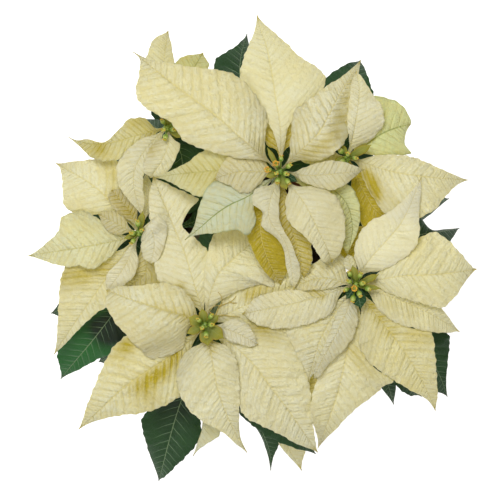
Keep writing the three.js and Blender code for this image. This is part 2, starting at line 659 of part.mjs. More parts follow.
// The upright thickness at a corner: more on a slope, and more along the stalk.
function thicknessAt(grid, index) {
  const { rows, columns, vertices } = grid;
  const i = Math.floor(index / columns);
  const j = index % columns;
  const at = (row, column) => {
    const v = vertices[row * columns + column];
    return new THREE.Vector3(v.x, v.y, v.z);
  };
  const down = at(Math.min(i + 1, rows), j).sub(at(Math.max(i - 1, 0), j));
  const across = at(i, Math.min(j + 1, columns - 1)).sub(at(i, Math.max(j - 1, 0)));
  const normal = down.cross(across).normalize();
  const stalk = STALK_EXTRA * Math.max(0, 1 - vertices[index].t / STALK_SHARE);
  return (grid.thickness + stalk) / THREE.MathUtils.clamp(Math.abs(normal.z), 0.5, 1);
}

// Raises a blade until it clears what lies under it, evenly enough to stay a smooth surface.
function settle(grid) {
  const planned = grid.vertices.map((v) => v.z);
  const samples = samplesOf(grid);
  for (const sample of samples) {
    sample.floor = laid[cellAt(sample.x, sample.y)] + LAY_GAP;
    for (const bloom of Object.values(blooms)) {
      const reach = onSheet(bloom.x, bloom.y).distanceTo(new THREE.Vector2(sample.x, sample.y));
      if (bloom === grid.bloom) {
        if (reach < HUB_CLEAR) sample.floor = -1;
      } else if (grid.bloom && reach < CLUSTER_CLEAR_RADIUS) {
        sample.floor = Math.max(sample.floor, bloom.top + CLUSTER_CLEAR_HEIGHT);
      }
    }
    if (Math.hypot(sample.x - grid.root.x, sample.y - grid.root.y) < HUB_CLEAR) sample.floor = -1;
  }
  const needed = samples.filter((sample) => sample.floor > 0);
  const enforce = () => {
    for (let pass = 0; pass < LAY_PASSES; pass++) {
      const rise = new Float32Array(grid.vertices.length);
      for (const sample of needed) {
        const z = sample.parts.reduce((sum, [i, share]) => sum + share * grid.vertices[i].z, 0);
        const short = sample.floor - z;
        if (short <= 0) continue;
        for (const [i, share] of sample.parts) {
          if (share > LEAST_SHARE) rise[i] = Math.max(rise[i], short);
        }
      }
      if (Math.max(...rise) < LAY_ENOUGH) break;
      grid.vertices.forEach((v, i) => { if (i >= grid.columns) v.z += rise[i]; });
    }
  };
  enforce();
  for (let round = 0; round < SOFTEN_ROUNDS; round++) {
    const raised = grid.vertices.map((v, i) => v.z - planned[i]);
    grid.vertices.forEach((v, index) => {
      const i = Math.floor(index / grid.columns);
      const j = index % grid.columns;
      if (i === 0) return;
      let sum = 0;
      let count = 0;
      for (const [row, column] of [[i - 1, j], [i + 1, j], [i, j - 1], [i, j + 1]]) {
        if (row < 0 || row > grid.rows || column < 0 || column >= grid.columns) continue;
        sum += raised[row * grid.columns + column];
        count += 1;
      }
      v.z = planned[index] + (raised[index] + sum / count) / 2;
    });
    enforce();
  }
  for (const sample of samples) {
    const top = sample.parts.reduce(
      (sum, [i, share]) => sum + share * (grid.vertices[i].z + thicknessAt(grid, i)), 0);
    const cell = cellAt(sample.x, sample.y);
    laid[cell] = Math.max(laid[cell], top);
  }
}

// One closed blade: the same triangles on both faces, and a narrow wall round the edge.
function bladeSolid(grid) {
  const { rows, columns, vertices, triangles } = grid;
  const count = vertices.length;
  const under = vertices.flatMap((v) => [v.x, v.y, v.z]);
  const upper = vertices.flatMap((v, i) => [v.x, v.y, v.z + thicknessAt(grid, i)]);
  const faces = [];
  for (const [a, b, c] of triangles) {
    faces.push(a, c, b, a + count, b + count, c + count);
  }
  const rim = [];
  for (let j = 0; j < columns - 1; j++) rim.push(j);
  for (let i = 0; i < rows; i++) rim.push(i * columns + columns - 1);
  for (let j = columns - 1; j > 0; j--) rim.push(rows * columns + j);
  for (let i = rows; i > 0; i--) rim.push(i * columns);
  rim.forEach((here, k) => {
    const next = rim[(k + 1) % rim.length];
    faces.push(here, next, next + count, here, next + count, here + count);
  });
  return solidOf([...under, ...upper], faces);
}

// The main stem and the branches
// A branch leaves the main stem the more steeply, the nearer its bloom stands to the axis.
function branchStart(bloom) {
  const plan = onSheet(bloom.x, bloom.y);
  const rise = LEAST_RISE + NEAR_RISE / plan.length();
  return new THREE.Vector3(plan.x, plan.y, 0).normalize().addScaledVector(up, rise).normalize();
}

// A branch swings out from the fork and stands upright under its bloom.
function branchCurve(bloom) {
  const plan = onSheet(bloom.x, bloom.y);
  const foot = new THREE.Vector3(0, 0, bloom.fork);
  const heading = branchStart(bloom);
  const end = bloom.top - HUB_LENGTH - SEAT_GAP;
  const first = foot.clone().addScaledVector(heading, STUB_REACH + SEAT_GAP);
  const climb = (share, height) => new THREE.Vector3(
    plan.x * share, plan.y * share, THREE.MathUtils.lerp(bloom.fork, end, height));
  return [
    first,
    foot.clone().addScaledVector(heading, STUB_REACH + BRANCH_STAND),
    climb(0.62, 0.42),
    climb(0.9, 0.7),
    new THREE.Vector3(plan.x, plan.y, end - BRANCH_STAND),
    new THREE.Vector3(plan.x, plan.y, end),
  ];
}

function mainStem() {
  const trunk = stem(
    [TRUNK_FOOT, 100, 140, TRUNK_TOP].map((z) => new THREE.Vector3(0, 0, z)),
    TRUNK_RADIUS, TRUNK_TIP_RADIUS, TRUNK_SIDES, TRUNK_STEPS);
  const stubs = Object.values(blooms).map((bloom) => {
    const foot = new THREE.Vector3(0, 0, bloom.fork);
    const end = foot.clone().addScaledVector(branchStart(bloom), STUB_REACH);
    return stem([foot, end], STUB_RADIUS, STUB_RADIUS, STUB_SIDES, 1);
  });
  return joined([trunk, ...stubs]);
}

function pointAtHeight(points, height) {
  const spaced = new THREE.CatmullRomCurve3(points).getSpacedPoints(PATH_SAMPLES);
  return spaced.reduce((best, p) => (Math.abs(p.z - height) < Math.abs(best.z - height) ? p : best));
}

// Gives the places so far ahead of a point in one bearing, and so far aside.
function spotsFrom(point, bearing) {
  const angle = THREE.MathUtils.degToRad(bearing);
  const ahead = new THREE.Vector2(Math.cos(angle), Math.sin(angle));
  const aside = new THREE.Vector2(-ahead.y, ahead.x);
  return (distance, offset) => new THREE.Vector2(point.x, point.y)
    .addScaledVector(ahead, distance)
    .addScaledVector(aside, offset);
}

// Ovate blade on a stalk: rounded behind, two low shoulders, drawn out to the tip.
function skirtLeaf({ stem: name, at, bearing, stalk, blade }) {
  const root = pointAtHeight(branchCurve(blooms[name]), at);
  const spot = spotsFrom(root, bearing);
  const half = blade * SKIRT_WIDTH_SHARE;
  const outline = [[0.04, 0.3], [0.18, 0.92], [0.4, 0.97], [0.62, 0.68], [0.82, 0.32]];
  const side = (sign) => outline.map(([t, w]) => spot(stalk + blade * t, sign * w * half));
  return {
    stem: name,
    root,
    at,
    lift: SKIRT_LIFT,
    drop: SKIRT_DROP,
    wave: SKIRT_WAVE,
    thickness: LEAF_THICKNESS,
    rib: [spot(stalk * 0.6, 0), spot(stalk, 0), spot(stalk + blade * 0.5, 0), spot(stalk + blade, 0)],
    left: [spot(stalk * 0.6, STALK_HALF_WIDTH), ...side(1)],
    right: [spot(stalk * 0.6, -STALK_HALF_WIDTH), ...side(-1)],
  };
}

// A leaf set out on the plan sheet
function visibleLeaf(leaf) {
  return {
    ...leaf,
    root: pointAtHeight(branchCurve(blooms[leaf.stem]), leaf.at),
    rib: sheetPoints(leaf.rib),
    left: sheetPoints(leaf.left),
    right: sheetPoints(leaf.right),
    thickness: LEAF_THICKNESS,
  };
}

// Puts the two edges of a blade on their own sides, seen from the root.
function sided(blade) {
  const loop = [...blade.left, ...[...blade.right].reverse()];
  const turning = THREE.ShapeUtils.area(loop);
  return turning < 0 ? blade : { ...blade, left: blade.right, right: blade.left };
}

// The stem end that carries the bracts
function hub(bloom) {
  const plan = onSheet(bloom.x, bloom.y);
  const geometry = new THREE.CylinderGeometry(HUB_RADIUS, BRANCH_TIP_RADIUS, HUB_LENGTH, HUB_SIDES);
  geometry.rotateX(Math.PI / 2);
  geometry.translate(plan.x, plan.y, bloom.top - HUB_LENGTH / 2);
  return solidOfGeometry(geometry);
}

// A bract set out on the plan sheet, which springs from its bloom's stem end
function bloomBract(bloom, bract) {
  const plan = onSheet(bloom.x, bloom.y);
  return {
    ...bract,
    bloom,
    root: new THREE.Vector3(plan.x, plan.y, bloom.top - bract.low - BRACT_THICKNESS - STALK_EXTRA),
    rib: sheetPoints(bract.rib),
    left: sheetPoints(bract.left),
    right: sheetPoints(bract.right),
    thickness: BRACT_THICKNESS,
  };
}

// Every blade is laid in turn, from the lowest to the highest, and joined to what it grows from.
const branchParts = {};
const bractParts = {};
const blades = [];
for (const [name, bloom] of Object.entries(blooms)) {
  const path = branchCurve(bloom);
  branchParts[name] = [stem(path, BRANCH_RADIUS, BRANCH_TIP_RADIUS, BRANCH_SIDES, BRANCH_STEPS)];
  bractParts[name] = [hub(bloom)];
  for (const bract of bloom.bracts) {
    blades.push({ ...bloomBract(bloom, bract), carrier: bractParts[name] });
  }
}
const greens = [...leaves.map(visibleLeaf), ...[...skirt, ...middleLeaves].map(skirtLeaf)];
blades.push(...greens.map((leaf) => ({ ...leaf, layer: leaf.at / 100, carrier: branchParts[leaf.stem] })));
blades.sort((a, b) => a.layer - b.layer);
blades.forEach((blade, turn) => {
  const grid = layOut(sided(blade), turn);
  settle(grid);
  grid.carrier.push(bladeSolid(grid));
});

// A flower cup: a stalk that widens into a cup, with one gland on its lip.
function flowerCup(base, place, bearing) {
  const lean = place.clone().sub(base);
  const stalk = lean.length();
  const profile = [
    [0, 0],
    [CUP_STALK_RADIUS, 0],
    [CUP_STALK_RADIUS, stalk],
    [CUP_RADIUS, stalk + 0.4 * CUP_HEIGHT],
    [0.8 * CUP_RADIUS, stalk + 0.85 * CUP_HEIGHT],
    [0, stalk + CUP_HEIGHT],
  ].map(([r, h]) => new THREE.Vector2(r, h));
  const cup = new THREE.LatheGeometry(profile, CUP_SIDES);
  const gland = new THREE.TetrahedronGeometry(GLAND_RADIUS);
  gland.translate(0.8 * CUP_RADIUS, stalk + 0.8 * CUP_HEIGHT, 0);
  const stance = new THREE.Matrix4()
    .makeTranslation(base.x, base.y, base.z)
    .multiply(new THREE.Matrix4().makeRotationFromQuaternion(
      new THREE.Quaternion().setFromUnitVectors(new THREE.Vector3(0, 1, 0), lean.clone().normalize())))
    .multiply(new THREE.Matrix4().makeRotationY(bearing));
  return joined([cup, gland].map((geometry) => solidOfGeometry(geometry.applyMatrix4(stance))));
}

// One small bract of the flower cluster
function innerBract(plan, floor, [bearing, length, half], turn) {
  const spot = spotsFrom(plan, bearing);
  const side = (sign) => [spot(0.4 * length, sign * half * 0.8), spot(0.75 * length, sign * half * 0.8)];
  return bladeSolid(layOut({
    root: new THREE.Vector3(...spot(INNER_ROOT, 0), floor),
    rib: [spot(length * 0.5, 0), spot(length, 0)],
    left: side(1),
    right: side(-1),
    lift: 3,
    drop: -2,
    wave: 0,
    thickness: BRACT_THICKNESS,
  }, turn));
}

// The flower cluster on the stem end: a knob, its cups set round in a spiral, and small bracts
function cluster(name, bloom) {
  const plan = onSheet(bloom.x, bloom.y);
  const floor = bloom.top + SEAT_GAP;
  const knob = new THREE.CylinderGeometry(0.8 * KNOB_RADIUS, KNOB_RADIUS, KNOB_HEIGHT, KNOB_SIDES);
  knob.rotateX(Math.PI / 2);
  knob.translate(plan.x, plan.y, floor + KNOB_HEIGHT / 2);
  const parts = [solidOfGeometry(knob)];
  for (let i = 0; i < bloom.cups; i++) {
    const bearing = GOLDEN_ANGLE * i + bloom.x;
    const reach = CUP_SPREAD * Math.sqrt(i + 0.4);
    const outward = new THREE.Vector3(Math.cos(bearing), Math.sin(bearing), 0);
    const base = new THREE.Vector3(plan.x, plan.y, floor + KNOB_HEIGHT / 2)
      .addScaledVector(outward, CUP_ROOT * reach);
    const place = base.clone()
      .addScaledVector(outward, (1 - CUP_ROOT) * reach)
      .addScaledVector(up, CUP_RISE - CUP_DIP * reach);
    parts.push(flowerCup(base, place, bearing));
  }
  innerBracts[name].forEach((bract, turn) => parts.push(innerBract(plan, floor + INNER_SEAT, bract, turn)));
  return joined(parts);
}

// A body turned round the pot's axis from [radius, height] pairs
function turned(pairs, sides) {
  const body = new THREE.LatheGeometry(pairs.map(([r, h]) => new THREE.Vector2(r, h)), sides);
  body.rotateX(Math.PI / 2);
  return body;
}

// An upright round drill of one radius
function drill(x, y, z, radius, length, sides) {
  const geometry = new THREE.CylinderGeometry(radius, radius, length, sides);
  geometry.rotateX(Math.PI / 2);
  geometry.translate(x, y, z);
  return solidOfGeometry(geometry);
}

function pot() {
  const neck = POT_HEIGHT - RIM_HEIGHT;
  const rim = POT_NECK_RADIUS + RIM_STEP;
  const inside = POT_NECK_RADIUS - POT_WALL;
  const body = solidOfGeometry(turned([
    [0, 0],
    [POT_FOOT_RADIUS - POT_EDGE, 0],
    [POT_FOOT_RADIUS, POT_EDGE],
    [POT_NECK_RADIUS, neck],
    [rim, neck + 1],
    [rim + 1, POT_HEIGHT - POT_EDGE],
    [rim - 0.5, POT_HEIGHT],
    [inside + RIM_STEP, POT_HEIGHT],
    [inside, neck],
    [POT_FOOT_RADIUS - POT_WALL, POT_FLOOR],
    [0, POT_FLOOR],
  ], POT_SIDES));
  const drills = Array.from({ length: DRAIN_HOLES }, (_, i) => {
    const angle = (2 * Math.PI * i) / DRAIN_HOLES;
    const x = DRAIN_CIRCLE * Math.cos(angle);
    const y = DRAIN_CIRCLE * Math.sin(angle);
    return drill(x, y, 0, DRAIN_RADIUS, 4 * POT_FLOOR, DRAIN_SIDES);
  });
  return body.subtract(joined(drills));
}

// Soil follows the pot's inner wall, with a plain hole for the stem and a lightly crumbled top.
function soil() {
  const floor = POT_FLOOR + SEAT_GAP;
  const shoulder = SOIL_TOP - 3;
  const foot = POT_FOOT_RADIUS - POT_WALL - 2 * SEAT_GAP;
  const neck = POT_NECK_RADIUS - POT_WALL - 2 * SEAT_GAP;
  const wallAt = (z) => THREE.MathUtils.mapLinear(z, POT_FLOOR, POT_HEIGHT - RIM_HEIGHT, foot, neck);
  const body = turned([
    [0, floor],
    [wallAt(floor), floor],
    [wallAt(shoulder), shoulder],
    ...SOIL_RINGS.map((r) => [r, SOIL_TOP]),
    [0, SOIL_TOP],
  ], SOIL_SIDES);
  const place = body.attributes.position;
  for (let i = 0; i < place.count; i++) {
    if (place.getZ(i) < shoulder + 1) continue;
    const x = place.getX(i);
    const y = place.getY(i);
    const crumb = Math.sin(0.61 * x + 0.37 * y) + Math.sin(0.43 * x - 0.71 * y + 1);
    place.setZ(i, SOIL_TOP + SOIL_CRUMB * crumb);
  }
  const depth = SOIL_TOP - TRUNK_FOOT + SEAT_GAP;
  const hole = drill(0, 0, SOIL_TOP, TRUNK_RADIUS + STEM_ROOM, 2 * depth, STEM_HOLE_SIDES);
  return solidOfGeometry(body).subtract(hole);
}

const plant = new THREE.Group();
plant.add(meshOf('pot', pot(), 'pot'));
plant.add(meshOf('soil', soil(), 'soil'));
plant.add(meshOf('main_stem', mainStem(), 'wood'));
for (const [name, bloom] of Object.entries(blooms)) {
  plant.add(meshOf(`branch_${name}`, joined(branchParts[name]), 'leaf'));
  plant.add(meshOf(`bloom_${name}_bracts`, joined(bractParts[name]), 'bract'));
  plant.add(meshOf(`bloom_${name}_cyathia`, cluster(name, bloom), 'cyathia'));
}

export default plant;
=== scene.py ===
# %% [markdown]
# # A cream poinsettia in its pot
#
# The plant stands in a plain nursery pot. Six branches each end in a bloom: a small cluster of flower
# cups, ringed by broad cream bracts, which are coloured leaves. Green leaves reach out below them.
# The solid model gives every piece its place and size. This lesson gives each one its living surface.

# %% Load the solid model
import math

import bpy
import numpy as np
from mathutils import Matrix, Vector


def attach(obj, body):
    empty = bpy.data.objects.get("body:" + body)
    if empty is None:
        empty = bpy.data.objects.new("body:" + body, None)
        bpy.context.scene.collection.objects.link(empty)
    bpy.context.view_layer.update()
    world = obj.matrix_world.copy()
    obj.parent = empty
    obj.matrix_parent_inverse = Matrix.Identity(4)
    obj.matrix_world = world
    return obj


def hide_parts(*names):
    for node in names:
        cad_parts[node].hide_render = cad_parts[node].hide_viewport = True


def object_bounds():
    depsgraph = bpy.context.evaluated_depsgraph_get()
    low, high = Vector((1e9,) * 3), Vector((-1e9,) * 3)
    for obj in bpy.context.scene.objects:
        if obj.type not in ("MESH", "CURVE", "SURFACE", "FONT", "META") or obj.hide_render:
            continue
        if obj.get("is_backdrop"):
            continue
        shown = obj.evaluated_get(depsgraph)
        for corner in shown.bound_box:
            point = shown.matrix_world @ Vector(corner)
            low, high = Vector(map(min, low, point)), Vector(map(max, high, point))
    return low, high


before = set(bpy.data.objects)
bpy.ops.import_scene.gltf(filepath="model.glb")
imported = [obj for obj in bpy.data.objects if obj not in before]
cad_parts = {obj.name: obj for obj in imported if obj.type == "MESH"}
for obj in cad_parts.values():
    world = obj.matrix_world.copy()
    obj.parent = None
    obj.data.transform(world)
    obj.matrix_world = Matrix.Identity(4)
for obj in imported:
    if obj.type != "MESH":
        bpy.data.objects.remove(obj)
solid_box = [list(corner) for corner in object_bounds()]
print("solid model, metres:", solid_box)

# %% [markdown]
# ## Camera, floor and light
#
# The plant is looked at from straight above. A very long lens, far away, keeps high and low leaves at
# nearly the same scale. The floor is a pale studio table that glows a little, so shadows on it stay
# faint. A large soft box stands behind the plant, so that every fold and vein has a light and a shaded
# flank, and light comes through the thin bracts. A weaker one in front softens the shade.

# %% Camera
MM = 0.001
SHEET = 500
AXIS_X, AXIS_Y = 250, 243
FRAME_SIZE = 0.5
FOCUS_HEIGHT = 0.33
CAMERA_REACH = 15.0
SENSOR_WIDTH = 36
FARTHEST_SEEN = 100
scene = bpy.context.scene


def set_up(name, data):
    """Stands a camera, a lamp or a mesh in the scene."""
    made = bpy.data.objects.new(name, data)
    scene.collection.objects.link(made)
    return made


camera_data = bpy.data.cameras.new("camera")
camera_data.sensor_width = SENSOR_WIDTH
camera_data.lens = SENSOR_WIDTH * CAMERA_REACH / FRAME_SIZE
camera_data.clip_end = FARTHEST_SEEN
camera = set_up("camera", camera_data)
middle_y = (AXIS_Y - SHEET / 2) * MM
camera.location = (0, middle_y, FOCUS_HEIGHT + CAMERA_REACH)
scene.camera = camera
print("lens", camera_data.lens, "mm")

# %% Floor
FLOOR_HALF = 4.0


def pale_finish(name, shade, rough, glow):
    """A plain floor colour, lit a little from below like a studio table."""
    material = bpy.data.materials.new(name)
    material.use_nodes = True
    surface = material.node_tree.nodes["Principled BSDF"]
    surface.inputs["Base Color"].default_value = (*shade, 1)
    surface.inputs["Roughness"].default_value = rough
    surface.inputs["Emission Color"].default_value = (1, 1, 1, 1)
    surface.inputs["Emission Strength"].default_value = glow
    return material


floor_mesh = bpy.data.meshes.new("floor")
floor_corners = [(x * FLOOR_HALF, y * FLOOR_HALF, 0) for x, y in ((-1, -1), (1, -1), (1, 1), (-1, 1))]
floor_mesh.from_pydata(floor_corners, [], [(0, 1, 2, 3)])
floor_mesh.materials.append(pale_finish("floor_paint", shade=(0.6, 0.6, 0.6), rough=0.9, glow=0.86))
floor = set_up("floor", floor_mesh)
floor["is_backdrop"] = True
print("floor", 2 * FLOOR_HALF, "m square")

# %% Soft light
SKY_TINT, SKY_STRENGTH = (1, 0.975, 0.85, 1), 0.337
world = bpy.data.worlds.new("studio")
scene.world = world
world.use_nodes = True
sky = world.node_tree.nodes["Background"]
sky.inputs["Color"].default_value = SKY_TINT
sky.inputs["Strength"].default_value = SKY_STRENGTH


def lamp(name, place, size, power, tint):
    """A square soft box that faces the blooms."""
    data = bpy.data.lights.new(name, "AREA")
    data.size = size
    data.energy = power
    data.color = tint
    light = set_up(name, data)
    light.location = place
    aim = Vector((0, 0, FOCUS_HEIGHT)) - Vector(place)
    light.rotation_mode = "QUATERNION"
    light.rotation_quaternion = aim.to_track_quat("-Z", "Y")


lamp("key", place=(-0.8, 2.2, 6.8), size=2.2, power=294, tint=(1, 0.995, 0.98))
lamp("fill", place=(-1.7, -2.2, 4.8), size=1.8, power=76, tint=(1, 0.99, 0.97))
scene.view_settings.view_transform = "Standard"

# %% [markdown]
# ## The plan of the plant
#
# Bracts are irregular, so each one is set out one by one, as a dressmaker lays out a pattern. The plan is
# one square sheet, 500 mm wide, seen from above: x to the right, y to the front. A blade is given by
# its midrib and its two edges. Its layer is its turn in the laying: low blades first, high ones last.
# Its look says how it differs: green, mint or pale, where pale is in part painted light; crinkled, pleated
# or folded; with gold painted shade up to shade_end, where others shade it; or with spots of painted
# shade, each given as x, y, radius and strength. The look over gives a later turn in the laying, to a
# bract that has slipped out on top.


# %% Reading the plan
def on_sheet(x, y):
    """From the plan sheet to the plant's own axes, in millimetres."""
    return np.array([x - AXIS_X, AXIS_Y - y], float)


def sheet_points(text):
    return np.array([on_sheet(*map(float, pair.split(","))) for pair in text.split()])


BLOOMS, BRACTS, LEAVES = {}, [], []


def bloom(name, at, top, fork, cups):
    """A bloom: its place on the sheet, the height of its stem end and of its fork, and its cups."""
    BLOOMS[name] = dict(name=name, plan=on_sheet(*at), x=at[0], top=top, fork=fork, cups=cups)


def bract(home, low, layer, lift, drop, wave, rib, left, right, **look):
    """A bract: it springs so far below the stem end. lift is its arch and drop the fall of its tip."""
    BRACTS.append(dict(home=home, low=low, layer=layer, lift=lift, drop=drop, wave=wave,
                       rib=sheet_points(rib), left=sheet_points(left), right=sheet_points(right), look=look))


def leaf(home, at, lift, drop, wave, rib, left, right, **look):
    """A green leaf, which springs from its branch at a height above the floor."""
    LEAVES.append(dict(home=home, at=at, layer=at / 100, lift=lift, drop=drop, wave=wave,
                       rib=sheet_points(rib), left=sheet_points(left), right=sheet_points(right), look=look))


# %% The six blooms
# In the looks below, shade and spots are painted shade, and pale is in part painted light.
bloom("back", at=(280, 172), top=388, fork=172, cups=8)
bract("back", low=24, layer=59, lift=14, drop=6, wave=2,
      rib="262,156 243,140 215,115 190,97 165,78 148,64 133,52",
      left="262,162 235,158 205,150 184,141 172,124 157,115 142,105 136,92 139,76 140,60",
      right="264,150 268,120 255,95 237,76 214,70 190,67 168,63 150,60 142,56",
      crinkle=1.3, pleat=2)
bract("back", low=22, layer=47.5, lift=10, drop=34, wave=2,
      rib="281,150 280,125 277,108 272,75 266,45 260,28 257,15",
      left="278,152 271,128 252,102 240,80 243,60 250,42 256,26",
      right="285,150 288,128 302,110 320,96 325,77 313,65 300,57 285,42 268,27",
      crinkle=0.7, spots="268,62,34,0.1")
bract("back", low=27, layer=46.5, lift=4, drop=24, wave=1,
      rib="280,151 280,137 280,122 281,106",
      left="276,151 267,145 259,125 268,109",
      right="285,152 296,140 300,124 291,109",
      shade=0.7)
bract("back", low=16, layer=48.5, lift=6, drop=42, wave=3,
      rib="291,160 300,150 313,140 323,126 333,106 345,86 361,60",
      left="287,155 291,134 294,112 310,99 325,87 340,78 351,69",
      right="300,163 322,160 338,150 348,135 350,112 354,90 359,72",
      fold=-0.4, crinkle=1.5, pleat=4, pale=0.5,
      spots="305,154,6,0.5 315,150,6,0.6 325,145,7,0.6 334,134,8,0.6 341,118,7,0.6 346,100,6,0.5 "
            "350,84,5,0.5")
bract("back", low=5, layer=60, lift=7, drop=6, wave=1,
      rib="294,174 308,176 326,175 345,173 364,170",
      left="294,171 306,167 322,162 336,161 349,164 357,167",
      right="296,179 307,184 322,189 334,190 346,184 357,175",
      crinkle=1.1, pale=0.4, shade=0.08, shade_end=1.5)
bract("back", low=8, layer=58, lift=12, drop=20, wave=1.5,
      rib="290,186 299,196 308,210 317,228 326,246 332,262",
      left="297,185 316,187 333,194 341,206 345,222 344,240 339,255",
      right="287,189 285,204 288,221 298,231 308,240 316,251 323,262",
      crinkle=0.8, pale=0.3, shade=0.07, shade_end=1.5)
bract("back", low=18, layer=54, lift=8, drop=30, wave=1.5,
      rib="300,178 320,184 337,193 348,207 352,225 351,240 347,255",
      left="302,174 325,178 345,183 354,191 359,204 360,218 357,233 351,246",
      right="298,184 315,194 329,206 338,222 340,238 342,249",
      green=0.7, spots="316,186,12,0.5")
bract("back", low=14, layer=57, lift=8, drop=38, wave=1.5,
      rib="275,188 269,206 271,224 283,238 290,258 294,290",
      left="270,184 256,189 252,203 262,212 262,227 274,236 283,248 286,266 290,281",
      right="281,186 279,204 281,226 289,238 296,256 301,272 297,284",
      pale=0.3, crinkle=0.7)
bract("back", low=20, layer=53, lift=4, drop=44, wave=1,
      rib="270,194 262,214 261,236 268,260 281,285",
      left="264,190 251,203 243,220 248,240 258,262 270,278",
      right="277,194 282,214 286,238 289,260 287,277",
      shade=1.0, shade_end=1.1)
bract("back", low=21, layer=53.5, lift=4, drop=46, wave=1,
      rib="283,194 288,216 295,240 300,260 304,278",
      left="288,192 301,218 310,238 312,262 307,274",
      right="278,194 279,220 287,244 296,266",
      shade=0.65, shade_end=1.3)
bract("back", low=11, layer=55, lift=9, drop=26, wave=1,
      rib="266,184 249,196 230,205 215,215 200,228 185,240",
      left="267,188 254,205 256,221 248,235 236,230 218,233 205,234 193,236",
      right="263,180 246,189 230,183 214,181 204,194 198,211 192,232",
      mint=0.9, spots="253,208,8,0.4")
# This one lies under others: its green tinge and its gold spots are painted shade.
bract("back", low=19, layer=52, lift=8, drop=34, wave=1.5,
      rib="262,171 240,170 216,171 192,173 172,175 154,178",
      left="263,176 243,188 220,196 200,197 184,190 167,181",
      right="264,166 244,155 222,149 203,151 188,162 170,171",
      green=0.35, shade=0.12, shade_end=1.5, spots="225,172,9,0.7 205,174,16,0.4 188,172,10,0.3")
bract("back", low=6, layer=56, lift=4, drop=4, wave=1.5,
      rib="268,172 254,172 240,172 226,175 214,180",
      left="268,176 256,188 244,194 230,186 220,182",
      right="270,166 260,156 244,152 228,157 219,170",
      crinkle=1.2, shade=0.2, shade_end=1.5)
bloom("right_back", at=(347, 158), top=372, fork=160, cups=5)
bract("right_back", low=10, layer=61, lift=12, drop=14, wave=1.5,
      rib="351,145 355,125 358,105 359,88 356,71",
      left="349,143 347,123 349,100 351,84 353,76",
      right="359,148 374,137 384,122 381,106 372,94 365,82 360,75",
      crinkle=1.0, pale=0.6)
bract("right_back", low=16, layer=47, lift=8, drop=26, wave=1.5,
      rib="360,150 375,138 390,130 400,127 411,124",
      left="354,143 360,122 373,97 388,99 402,105 411,121",
      right="363,155 380,156 396,155 411,154 405,145 406,133",
      green=0.8)
bract("right_back", low=12, layer=49, lift=10, drop=34, wave=2,
      rib="364,163 385,170 410,175 438,178 468,180",
      left="362,158 380,155 396,155 412,157 430,164 450,173",
      right="358,170 365,184 375,201 389,217 413,219 433,211 445,197 455,187",
      spots="391,199,6,0.25 397,203,4,0.35 366,173,6,0.8 371,181,7,1.0 375,190,7,1.0 377,198,6,0.8")
bract("right_back", low=20, layer=48, lift=4, drop=28, wave=1.5,
      rib="355,174 364,192 374,208 391,222",
      left="365,169 377,180 387,196 395,212",
      right="350,176 352,196 357,214 365,228 379,226",
      shade=1.0, shade_end=1.2)
bract("right_back", low=22, layer=46, lift=3, drop=24, wave=1.5,
      rib="334,156 318,152 303,149 290,150",
      left="336,162 320,166 305,163 296,156",
      right="336,150 322,141 308,139 297,143")
bloom("left", at=(139, 233), top=320, fork=150, cups=6)
bract("left", low=20, layer=14, lift=12, drop=34, wave=2,
      rib="126,218 112,203 95,187 75,174 55,163",
      left="120,219 101,214 79,216 64,205 62,186 60,170",
      right="138,216 133,196 123,172 112,156 93,159 72,161",
      spots="113,175,9,0.5 112,195,9,0.6 106,160,9,0.4")
bract("left", low=17, layer=18, lift=12, drop=36, wave=2,
      rib="124,239 100,244 78,248 52,252 27,256",
      left="123,244 110,257 93,269 80,266 67,267 50,263 38,259",
      right="124,233 106,224 84,211 62,217 58,231 48,241 37,250",
      fold=0.1, crinkle=1.3, pleat=1, green=0.25)
bract("left", low=6, layer=21, lift=5, drop=8, wave=0.5,
      rib="128,230 118,224 108,219 98,214",
      left="127,234 116,235 106,230 101,222",
      right="130,225 122,216 112,211 104,211",
      crinkle=1.3, shade=0.3, shade_end=1.5)
bract("left", low=24, layer=15, lift=8, drop=50, wave=2,
      rib="126,250 110,272 92,298 72,326 53,355",
      left="132,256 127,280 116,301 98,312 80,328 63,346",
      right="122,247 97,256 68,264 60,280 58,302 56,335",
      crinkle=1.2, spots="62,276,12,0.7 82,276,12,0.8 104,268,12,0.8")
bract("left", low=10, layer=20, lift=4, drop=12, wave=1,
      rib="133,247 127,262 118,276 107,291",
      left="138,250 138,264 133,277 120,288",
      right="128,246 121,259 109,271 105,281",
      pale=1.0, crinkle=0.8, spots="125,262,7,0.3")
bract("left", low=4, layer=22, lift=7, drop=4, wave=1,
      rib="147,226 153,234 154,249 150,264",
      left="148,222 160,216 167,226 165,244 158,260",
      right="144,229 141,240 142,254 146,262",
      over=30.5, crinkle=0.8, pale=0.8, spots="163,252,6,0.5")
bract("left", low=12, layer=19, lift=6, drop=10, wave=2.5,
      rib="134,220 127,208 119,198 111,190",
      left="130,223 118,214 110,203 108,195",
      right="139,219 135,204 128,194 118,189",
      crinkle=1.4, pleat=2, pale=0.8, spots="118,200,9,0.5 126,209,9,0.8 133,216,8,0.8 113,194,8,0.6")
bract("left", low=18, layer=13, lift=3, drop=8, wave=0.5,
      rib="143,218 147,204 148,188 146,172",
      left="140,217 142,203 142,188 143,178",
      right="147,219 152,204 153,188 149,178",
      pale=1.0)
bract("left", low=21, layer=13.5, lift=2, drop=18, wave=1,
      rib="144,248 147,263 144,275 124,288",
      left="150,246 164,262 168,280 150,292",
      right="138,250 137,263 132,276 124,283",
      pale=1.0, shade=0.4, shade_end=1.1)
bloom("front", at=(205, 325), top=346, fork=154, cups=5)
bract("front", low=22, layer=30, lift=10, drop=16, wave=2,
      rib="201,306 193,280 184,251 174,227 165,205 153,176",
      left="193,306 171,292 154,272 157,248 150,222 149,198 151,184",
      right="206,304 211,276 208,252 195,238 182,225 190,209 198,199 180,190 162,181",
      pale=0.7, spots="189,302,8,0.8 180,286,7,0.6 176,296,7,0.5")
